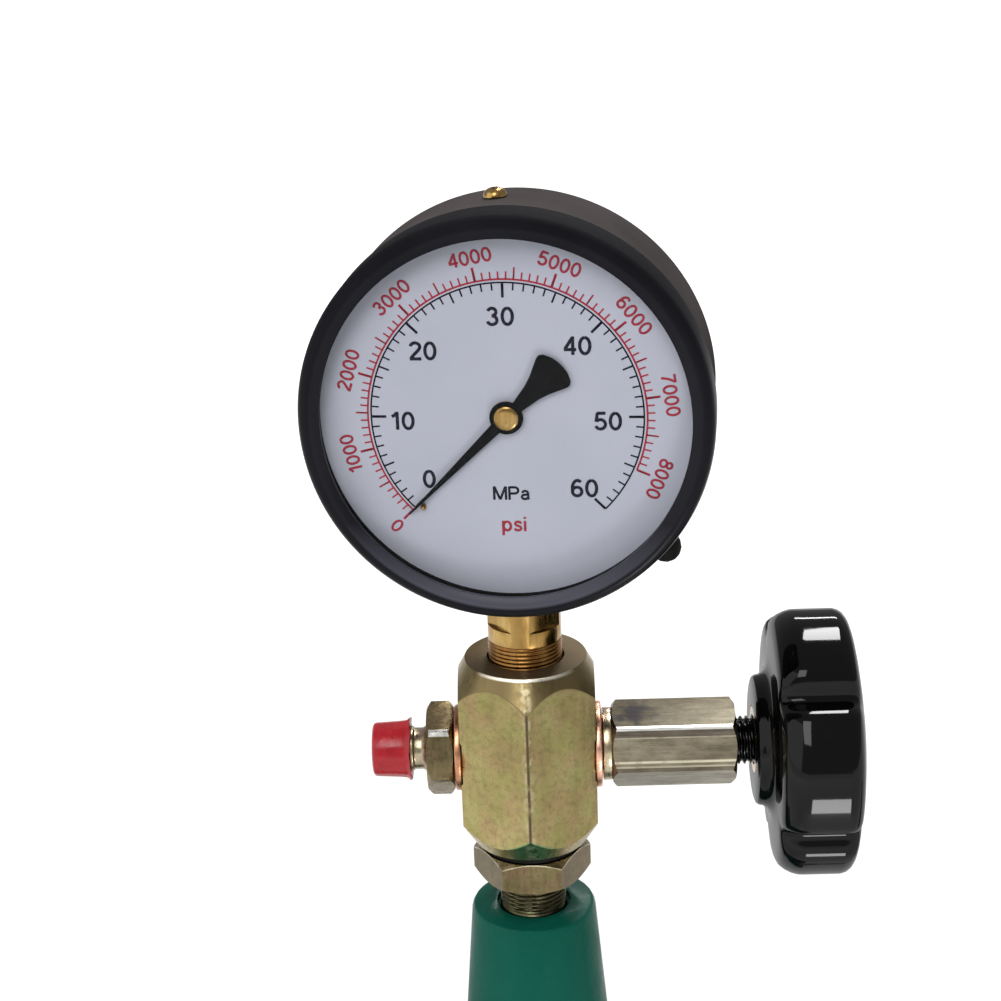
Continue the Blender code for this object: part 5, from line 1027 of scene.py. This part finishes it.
# %% Make the case
case = turned([
    (0.0462, 0.0204), (0.0499, 0.0204), (0.0499, -0.0100), (0.0497, -0.0112), (0.0490, -0.0123),
    (0.0478, -0.0129), (0.0465, -0.0130), (0, -0.0130), (0, -0.0110), (0.0484, -0.0110),
    (0.0484, 0.0189), (0.0462, 0.0189), (0.0462, 0.0204)], 192)
stem_hole = turned([(0, -0.052), (0.0103, -0.052), (0.0103, -0.024), (0, -0.024)])
stem_hole.data.transform(Matrix.Rotation(-QUARTER, 4, "X"))
carve(case, stem_hole)
smooth(case, 30)
fit(case, "case_shell", case_black, "gauge_case", DIAL)

# %% [markdown]
# The bezel is a ring that is pressed over the case. It has a short skirt, a rounded crown and an
# inner slope that leads the eye down to the glass.

# %% Make the bezel
bezel = turned([
    (0.0452, 0.0275), (0.0462, 0.0282), (0.0472, 0.0285), (0.0484, 0.0285), (0.0496, 0.0281),
    (0.0504, 0.0272), (0.0508, 0.0258), (0.0508, 0.0157), (0.0506, 0.0155), (0.0502, 0.0155),
    (0.0502, 0.0207), (0.0483, 0.0207), (0.0483, 0.0263), (0.0452, 0.0263),
    (0.0452, 0.0275)], 192, 0.0, 3, 40)
fit(bezel, "bezel_ring", bezel_black, "gauge_bezel", DIAL)

# %% [markdown]
# ## Dial, window and gasket
# The dial is a thin disc. The window stands 2.5 mm before it, on a rubber gasket.

# %% Make the dial, the gasket and the window
DIAL_FACE = 0.0215
dial = turned([(0.0012, DIAL_FACE), (0.0481, DIAL_FACE), (0.0481, 0.0207), (0.0012, 0.0207),
               (0.0012, DIAL_FACE)], 128)
fit(dial, "dial_disc", dial_white, "gauge_dial", DIAL)
gasket = turned([(0.0460, 0.0236), (0.0480, 0.0236), (0.0480, 0.0218), (0.0460, 0.0218),
                 (0.0460, 0.0236)], 128, 0.0003, 2)
fit(gasket, "window_gasket", rubber, "glass_gasket", DIAL)
window = turned([(0, 0.0260), (0.0480, 0.0260), (0.0480, 0.0240), (0, 0.0240)], 128)
fit(window, "window_glass", glass, "gauge_glass", DIAL)

# %% [markdown]
# ## The printed scales
# Two scales share the dial. The black one counts to 60 over three quarters of a turn, with its
# marks inside its line. The red one lies just outside, its marks point outwards, and it counts to
# 8000 of a smaller unit. One mark of each kind is modelled, and spin with copies sets the others.

# %% Helpers that print marks and lines
INK_RISE = 0.00002
SWEEP = math.radians(270)
ZERO = math.radians(225)
RED_STEP = math.radians(31.03) / 10      # a hundred of the small unit
BLACK_LINE = 0.0334
RED_LINE = 0.0342


def ink_to_dial(piece, name, ink):
    """Lays a printed piece on the dial; it stands for no node of its own."""
    fit(piece, name, ink, "gauge_dial", DIAL @ Matrix.Translation((0, 0, DIAL_FACE + INK_RISE)),
        [])


def marks(name, ink, start, length, width, step, count):
    """A row of marks from the zero clockwise; length is outwards, or inwards below zero."""
    nothing_selected()
    bpy.ops.mesh.primitive_plane_add(size=1)
    piece = bpy.context.object
    edit_all()
    bpy.ops.transform.resize(value=(abs(length), width, 1))
    bpy.ops.transform.translate(value=(start + length / 2, 0, 0))
    leave_edit()
    piece.data.transform(Matrix.Rotation(ZERO, 4, "Z"))
    edit_all()
    bpy.ops.mesh.spin(steps=count - 1, dupli=True, angle=step * (count - 1),
                      center=(0, 0, 0), axis=(0, 0, 1))
    leave_edit()
    ink_to_dial(piece, name, ink)


def line_round(name, ink, radius, width, sweep):
    """A line along the scale: a plane's edge, as long as the line is wide, is spun round."""
    nothing_selected()
    bpy.ops.mesh.primitive_plane_add(size=1)
    piece = bpy.context.object
    edit_all()
    bpy.ops.mesh.delete(type="ONLY_FACE")
    leave_edit()
    for point in piece.data.vertices:
        side = 1 if point.co.x > 0 else -1
        point.co = (radius + side * width / 2, 0, 0)
    edit_all()
    bpy.ops.mesh.remove_doubles(threshold=WELD)
    leave_edit()
    piece.data.transform(Matrix.Rotation(ZERO, 4, "Z"))
    edit_all()
    bpy.ops.mesh.spin(steps=135, angle=sweep, center=(0, 0, 0), axis=(0, 0, 1))
    weld()
    if piece.data.polygons[0].normal.z < 0:
        piece.data.flip_normals()
    ink_to_dial(piece, name, ink)

print("the black scale starts at", math.degrees(ZERO), "degrees")

# %% [markdown]
# The small marks come first. Every fifth and every tenth mark is laid over them, longer and
# broader. A line then joins the marks of each scale.

# %% Print marks and lines
UNIT = SWEEP / 60
marks("black_marks", ink_black, BLACK_LINE, length=-0.0019, width=0.00042, step=UNIT,
      count=61)
marks("black_marks_5", ink_black, BLACK_LINE, length=-0.0027, width=0.00046, step=5 * UNIT,
      count=13)
marks("black_marks_10", ink_black, BLACK_LINE, length=-0.0037, width=0.00066, step=10 * UNIT,
      count=7)
marks("red_marks", ink_red, RED_LINE, length=0.0019, width=0.00042, step=RED_STEP, count=81)
marks("red_marks_500", ink_red, RED_LINE, length=0.0030, width=0.00044, step=5 * RED_STEP,
      count=17)
marks("red_marks_1000", ink_red, RED_LINE, length=0.0035, width=0.00062, step=10 * RED_STEP,
      count=9)
line_round("black_line", ink_black, BLACK_LINE, width=0.00042, sweep=SWEEP)
line_round("red_line", ink_red, RED_LINE, width=0.00048, sweep=80 * RED_STEP)

# %% [markdown]
# The dial's figures have one thickness of line, as an engraver's cutter leaves it. Each figure is
# drawn by its middle lines: straight strokes and bows. All figures are 1 high here.

# %% Draw the figures
def bow(middle, reach, start, end, steps=16):
    """Points on an ellipse, from a start angle to an end angle in degrees."""
    points = []
    for step in range(steps + 1):
        angle = math.radians(start + (end - start) * step / steps)
        points.append((middle[0] + reach[0] * math.cos(angle),
                       middle[1] + reach[1] * math.sin(angle)))
    return points


FIGURES = {                   # width, then the strokes
    "0": (0.66, [bow((0.33, 0.50), (0.265, 0.435), 90, 450, 28)]),
    "1": (0.52, [[(0.10, 0.73), (0.25, 0.81), (0.36, 0.95)], [(0.39, 1.0), (0.39, 0.0)]]),
    "2": (0.66, [bow((0.33, 0.715), (0.25, 0.22), 170, -20)
                 + [(0.50, 0.55), (0.30, 0.34), (0.13, 0.16), (0.075, 0.065)],
                 [(0.02, 0.065), (0.64, 0.065)]]),
    "3": (0.66, [bow((0.31, 0.735), (0.215, 0.20), 165, -85),
                 bow((0.31, 0.295), (0.255, 0.235), 95, -165)]),
    "4": (0.66, [[(0.48, 0.0), (0.48, 1.0)], [(0.47, 0.94), (0.06, 0.31)],
                 [(0.01, 0.29), (0.66, 0.29)]]),
    "5": (0.66, [[(0.60, 0.935), (0.15, 0.935)], [(0.17, 0.96), (0.095, 0.46)],
                 bow((0.32, 0.325), (0.265, 0.26), 140, -160)]),
    "6": (0.66, [bow((0.335, 0.31), (0.25, 0.245), 90, 450, 24),
                 bow((0.36, 0.50), (0.275, 0.435), 50, 195)]),
    "7": (0.66, [[(0.03, 0.935), (0.64, 0.935)],
                 [(0.60, 0.94), (0.44, 0.70), (0.32, 0.44), (0.25, 0.20), (0.22, 0.0)]]),
    "8": (0.66, [bow((0.33, 0.745), (0.205, 0.19), 90, 450, 22),
                 bow((0.33, 0.30), (0.26, 0.235), 90, 450, 24)]),
    "M": (0.96, [[(0.065, 0.0), (0.065, 1.0)], [(0.085, 0.99), (0.48, 0.02)],
                 [(0.48, 0.02), (0.875, 0.99)], [(0.895, 0.0), (0.895, 1.0)]]),
    "P": (0.76, [[(0.065, 0.0), (0.065, 1.0)],
                 [(0.065, 0.935), (0.43, 0.935)] + bow((0.43, 0.705), (0.26, 0.23), 90, -90)
                 + [(0.065, 0.475)]]),
    "a": (0.62, [bow((0.30, 0.47), (0.21, 0.195), 165, 0) + [(0.51, 0.14), (0.57, 0.04)],
                 [(0.51, 0.42), (0.30, 0.385)] + bow((0.25, 0.225), (0.185, 0.16), 90, 270)
                 + [(0.37, 0.075), (0.50, 0.20)]]),
    "p": (0.62, [[(0.065, -0.29), (0.065, 0.725)],
                 bow((0.315, 0.36), (0.24, 0.30), 90, 450, 24)]),
    "s": (0.56, [[(0.49, 0.53), (0.43, 0.63), (0.28, 0.665), (0.14, 0.62), (0.10, 0.52),
                  (0.16, 0.43), (0.30, 0.375), (0.44, 0.31), (0.50, 0.20), (0.43, 0.10),
                  (0.28, 0.06), (0.13, 0.09), (0.06, 0.20)]]),
    "i": (0.13, [[(0.065, 0.0), (0.065, 0.725)], [(0.065, 0.86), (0.065, 1.0)]]),
}
print("drew", len(FIGURES), "figures")

# %% [markdown]
# A number is a row of figures with a small gap between two. A round section follows their lines,
# and the row is centred, scaled to its size, pressed flat to a low layer of ink and turned.

# %% Helper that prints a number
FIGURE_GAP = 0.12
STROKE = 0.178
INK_FLATNESS = 0.0001


def print_figures(name, figures, size, ink, place, turn=0.0):
    strokes = []
    pen = 0.0
    for figure in figures:
        width, rows = FIGURES[figure]
        strokes += [[(pen + x, y, 0) for x, y in points] for points in rows]
        pen += width + FIGURE_GAP
    piece = drawn(name, strokes, dimensions="3D", bevel_depth=STROKE / 2, bevel_resolution=1,
                  use_fill_caps=True)
    middle = Matrix.Translation((-(pen - FIGURE_GAP) / 2, -0.5, 0))
    flat = Matrix.Diagonal((size, size, INK_FLATNESS, 1))
    piece.data.transform(Matrix.Translation((*place, 0)) @ Matrix.Rotation(turn, 4, "Z")
                         @ flat @ middle)
    ink_to_dial(piece, name, ink)


# %% [markdown]
# The black numbers stand upright inside their scale, and the red ones follow the round.

# %% Print the numbers
BLACK_SIZE = 0.0046
BLACK_PLACES = {
    "0": (-0.0198, -0.0161), "10": (-0.0258, -0.0011), "20": (-0.0199, 0.0166),
    "30": (-0.0008, 0.0251), "40": (0.0176, 0.0178), "50": (0.0246, -0.0011),
    "60": (0.0185, -0.0183),
}
for figures, place in BLACK_PLACES.items():
    print_figures("black_number_" + figures, figures, BLACK_SIZE, ink_black, place)

RED_SIZE = 0.0035
RED_REACH = 0.0402
BLACK_UNIT_SIZE = 0.0035
RED_UNIT_SIZE = 0.0038
for index in range(9):
    angle = ZERO - 10 * index * RED_STEP
    place = (RED_REACH * math.cos(angle), RED_REACH * math.sin(angle))
    print_figures("red_number_%d" % (1000 * index), str(1000 * index), RED_SIZE, ink_red, place,
                  angle - QUARTER)
print_figures("black_unit", "MPa", BLACK_UNIT_SIZE, ink_black, (0.0005, -0.0197))
print_figures("red_unit", "psi", RED_UNIT_SIZE, ink_red, (0.0009, -0.0278))

# %% [markdown]
# ## The pointer
# The pointer is cut from thin sheet and blackened. Its blade runs from the hub to a sharp tip, and
# its tail spreads like a fish's. It is drawn as a flat curve, given its thickness and made a mesh.

# %% Cut the pointer
POINTER_HEIGHT = 0.02255      # middle of the sheet
HUB_RADIUS = 0.0041
HUB_STEPS = 12
half_outline = [(0.0352, 0.00015), (0.0200, 0.00070), (0.0060, 0.00128)]
half_outline += bow((0, 0), (HUB_RADIUS, HUB_RADIUS), 20, 160, HUB_STEPS)
half_outline += [(-0.0060, 0.0018), (-0.0090, 0.0023), (-0.0118, 0.0032), (-0.0142, 0.0043),
                 (-0.0160, 0.0051), (-0.0169, 0.0052), (-0.0178, 0.0046), (-0.0187, 0.0026),
                 (-0.0190, 0.0009)]
outline = half_outline + [(x, -y) for x, y in reversed(half_outline)]
pointer = drawn("pointer_drawing", [[(x, y, 0) for x, y in outline]], True, dimensions="2D",
                fill_mode="BOTH", extrude=0.00020, bevel_depth=0.00005)
edit_all()
weld()
smooth(pointer, 30)
fit(pointer, "pointer_blade", pointer_black, "pointer",
    DIAL @ Matrix.Translation((0, 0, POINTER_HEIGHT)) @ Matrix.Rotation(ZERO, 4, "Z"))

# %% [markdown]
# A brass cap holds the pointer on its arbor. It is a low turned button with a screwdriver slot. A
# small brass pin stands beside the scale's zero, where the pointer comes to rest.

# %% Make the hub cap and the stop pin
hub_cap = turned([(0, 0.02360), (0.0018, 0.02360), (0.0026, 0.02350), (0.0030, 0.02325),
                  (0.0030, 0.0229), (0, 0.0229)], 64)
cut_box(hub_cap, (0.0004, 0.0024, 0.0005), Matrix.Translation((0, 0, 0.0237)))
smooth(hub_cap, 30)
fit(hub_cap, "hub_cap_button", brass, "pointer_hub_cap", DIAL)

STOP_ANGLE = math.radians(227.2)
STOP_REACH = 0.0316
pin = turned([(0, 0.0233), (0.0004, 0.0232), (0.0007, 0.0228), (0.0007, 0.0207), (0, 0.0207)], 24)
fit(pin, "stop_pin_stud", brass, "stop_pin", DIAL @ Matrix.Translation(
    (STOP_REACH * math.cos(STOP_ANGLE), STOP_REACH * math.sin(STOP_ANGLE), 0)))

# %% [markdown]
# ## Case screws and vent plug
# Three brass screws with crossed slots hold the movement's plate to the case, and a rubber plug
# closes the vent. One screw is modelled and copied to the three places.

# %% Make the screws and the plug
SCREW_DEGREES = (94, 214, -26)
PLUG_DEGREES = -45


def on_case(degrees, forward):
    """A place on the case's round side, so far in front of the stem's axis."""
    return GAUGE @ Matrix.Translation((0, -forward, 0)) @ Matrix.Rotation(
        QUARTER - math.radians(degrees), 4, "Y")


screw = turned([(0, 0.05240), (0.0010, 0.05232), (0.0019, 0.05200), (0.0026, 0.05140),
                (0.0029, 0.05070), (0.0029, 0.0502), (0.0014, 0.0502), (0.0014, 0.0442),
                (0, 0.0442)], 48)
for turn in (0, QUARTER):
    cut_box(screw, (0.0028, 0.00055, 0.0014),
            Matrix.Translation((0, 0, 0.0523)) @ Matrix.Rotation(turn, 4, "Z"))
smooth(screw, 30)
for number, degrees in enumerate(SCREW_DEGREES, 1):
    fit(copied(screw, "screw_copy"), "case_screw_head_%d" % number, brass,
        "case_screw_%d" % number, on_case(degrees, 0.0010))
bpy.data.objects.remove(screw, do_unlink=True)
plug = turned([(0, 0.0573), (0.0014, 0.0571), (0.0027, 0.0563), (0.0037, 0.0549),
               (0.0042, 0.0531), (0.0042, 0.0506), (0.0036, 0.0503), (0.0028, 0.0503),
               (0.0028, 0.0469), (0, 0.0469)], 64)
fit(plug, "vent_plug_dome", rubber, "vent_plug", on_case(PLUG_DEGREES, 0.0100))

# %% [markdown]
# ## The gauge's stem
# The stem is one piece of brass: a thread that screws into the block, four spanner flats with a
# corner to the front, and above them the round neck that enters the case. Inside the case it ends
# in the socket of the tube, which is a copy of the solid, cut off below.

# %% Make the stem
STEM_FOOT = 0.2478
FLATS_FROM = 0.2735
FLAT_REACH = 0.0083           # from the axis to a flat
CUTTER = (0.01, 0.03, 0.01)
stem = turned([(0, 0.2945), (0.0097, 0.2945), (0.0097, 0.2694), (0.0094, 0.2689),
               (0, 0.2689)], 128)
for quarter in range(4):
    cut_box(stem, CUTTER, Matrix.Rotation(math.radians(45 - 6 + 90 * quarter), 4, "Z")
            @ Matrix.Translation((FLAT_REACH + CUTTER[0] / 2, 0, FLATS_FROM + CUTTER[2] / 2)))
round_edges(stem, width=0.00025, segments=2, degrees=30)
smooth(stem, 30)
fit(stem, "stem_flats", brass, "gauge_stem")
stem_thread = thread(radius=0.0098, depth=0.00022, pitch=0.0011, low=STEM_FOOT, high=0.2696,
                     columns=96)
fit(stem_thread, "stem_thread", thread_brass, "gauge_stem")
socket = polished("gauge_stem", edge=0.0, degrees=30)
only(socket)
edit_all()
bpy.ops.mesh.bisect(plane_co=(0, 0, 0.2905), plane_no=(0, 0, 1), use_fill=True,
                    clear_inner=True)
leave_edit()
smooth(socket, 30)
fit(socket, "stem_socket", brass, "gauge_stem")

# %% [markdown]
# ## The stand, the lever and the tank
# The casting and the lever keep the shape of their solids. Copies of them get rounded edges and
# smooth faces.

# %% Polish the casting and the lever
for node, edge in (("pump_stand", 0.0007), ("hand_lever", 0.0006)):
    piece = polished(node, edge, degrees=32)
    fit(piece, node + "_smooth", FINISHES[slot_of[node]], node)
for node in ("lever_pivot_pin", "pin_clip_front", "pin_clip_rear", "tappet", "spring_seat",
             "tank_union_bolt", "tank_washer_outer", "tank_washer_inner", "handle_rod",
             "hand_grip", "oil_tank", "tank_lid", "lid_knob"):
    piece = polished(node, edge=0.0, degrees=32)
    fit(piece, node + "_smooth", FINISHES[slot_of[node]], node)

# %% [markdown]
# ## Springs
# A coil spring is a round wire along a helix. The wire is a curve with a round section, made a
# mesh.

# %% Wind the springs
def wind(node, radii, heights, turns, wire, place, points_to_turn=36):
    """Winds a wire from the first radius and height to the last ones."""
    count = int(turns * points_to_turn)
    points = []
    for index in range(count + 1):
        share = index / count
        angle = 2 * math.pi * turns * share
        reach = radii[0] + (radii[1] - radii[0]) * share
        height = heights[0] + (heights[1] - heights[0]) * share
        points.append((reach * math.cos(angle), reach * math.sin(angle), height))
    spring = drawn(node + "_wire", [points], dimensions="3D", bevel_depth=wire,
                   bevel_resolution=4, use_fill_caps=True)
    smooth(spring, 60)
    return fit(spring, node + "_coils", steel, node, place)


pump_coils = wind("plunger_spring", radii=(0.0102, 0.0102), heights=(0.0526, 0.0820),
                  turns=4.5, wire=0.0012, place=UPRIGHT)
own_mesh(pump_coils)
valve_coils = wind("delivery_spring", radii=(0.0034, 0.0034), heights=(0.1234, 0.1378),
                   turns=5.5, wire=0.0005, place=UPRIGHT)
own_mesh(valve_coils)

# %% [markdown]
# The hairspring keeps the gauge's teeth pressed together. It is a flat spiral of thin wire round
# the arbor, inside the case.

# %% Wind the hairspring
wind("hairspring", radii=(0.0015, 0.0042), heights=(0.0143, 0.0143), turns=3, wire=0.0002,
     place=DIAL, points_to_turn=48)

# %% [markdown]
# ## Floor, light and background
# The tester stands on a plain pale floor that runs far back, and the background is white. The
# lamps stay at a plain level. The floor is a matt pale surface, and it adds its own brightness only
# for rays that come from the camera, a gloss or a glass, so it shows white and keeps the shadow.

# %% Lay the floor
nothing_selected()
bpy.ops.mesh.primitive_plane_add(size=16)
floor = bpy.context.object
floor.name = "studio_floor"
paper = new_finish("studio_floor_paper", 0.0, 0.7, Specular_IOR_Level=0.0,
                   Emission_Color=(1, 1, 1, 1))
two_tones(paper, 3, 2, (0.80, 0.80, 0.80), (0.82, 0.82, 0.82))
ray = paper.node_tree.nodes.new("ShaderNodeLightPath").outputs
seen = calculate("MAXIMUM", ray["Is Camera Ray"], ray["Is Glossy Ray"])
seen = calculate("MAXIMUM", seen, ray["Is Transmission Ray"])
far_glow = spread(distance_from(paper, ORIGIN), 0.26, 0.85, 0.35, 1.5)
to_shader(paper, "Emission Strength", times(seen, far_glow))
floor.data.materials.append(paper)
print("floor laid")

# %% [markdown]
# The world is white for the camera and dimmer as a light. A large key lamp hangs high before the
# tester, and a wide one stands on its left like a window. Two small ones behind and a card low in
# front give the metal and the black moulding something bright to mirror.

# %% Light the world and hang the lamps
world = bpy.data.worlds.new("studio_world")
bpy.context.scene.world = world
world.use_nodes = True
background = world.node_tree.nodes["Background"].inputs
background["Color"].default_value = (1, 1, 1, 1)
seen = wired(world.node_tree, "ShaderNodeLightPath", {}, "Is Camera Ray")
strength = wired(world.node_tree, "ShaderNodeMix", {0: seen, 2: 0.38, 3: 1.0})
world.node_tree.links.new(strength, background["Strength"])


def lamp(name, place, aim, power, width, height, shown=True):
    bpy.ops.object.light_add(type="AREA", location=place)
    light = bpy.context.object
    light.name = name
    light.data.shape = "RECTANGLE"
    light.data.size = width
    light.data.size_y = height
    light.data.energy = power
    light.visible_camera = shown
    light.rotation_euler = (Vector(aim) - Vector(place)).to_track_quat("-Z", "Y").to_euler()
    print(name, "at", place)


AIM = (0, 0, 0.24)
VALVE_AIM = (0.08, 0, 0.26)
lamp("lamp_key", (-0.18, -1.00, 1.30), AIM, power=9.0, width=0.55, height=0.90)
lamp("lamp_window", (-1.00, -0.55, 0.80), AIM, power=6.5, width=1.50, height=1.30)
lamp("lamp_back", (0.258, 0.60, 1.32), VALVE_AIM, power=7.0, width=0.148, height=0.44)
lamp("lamp_far", (0.235, 1.25, 0.89), VALVE_AIM, power=2.0, width=0.36, height=0.05,
     shown=False)
lamp("lamp_low_card", (0.108, -0.245, 0.01), VALVE_AIM, power=0.62, width=0.074, height=0.16,
     shown=False)

# %% [markdown]
# ## Finish
# The colours are shown as they are written.

# %% Show the colours as written
bpy.context.scene.view_settings.view_transform = "Standard"
bpy.context.view_layer.update()
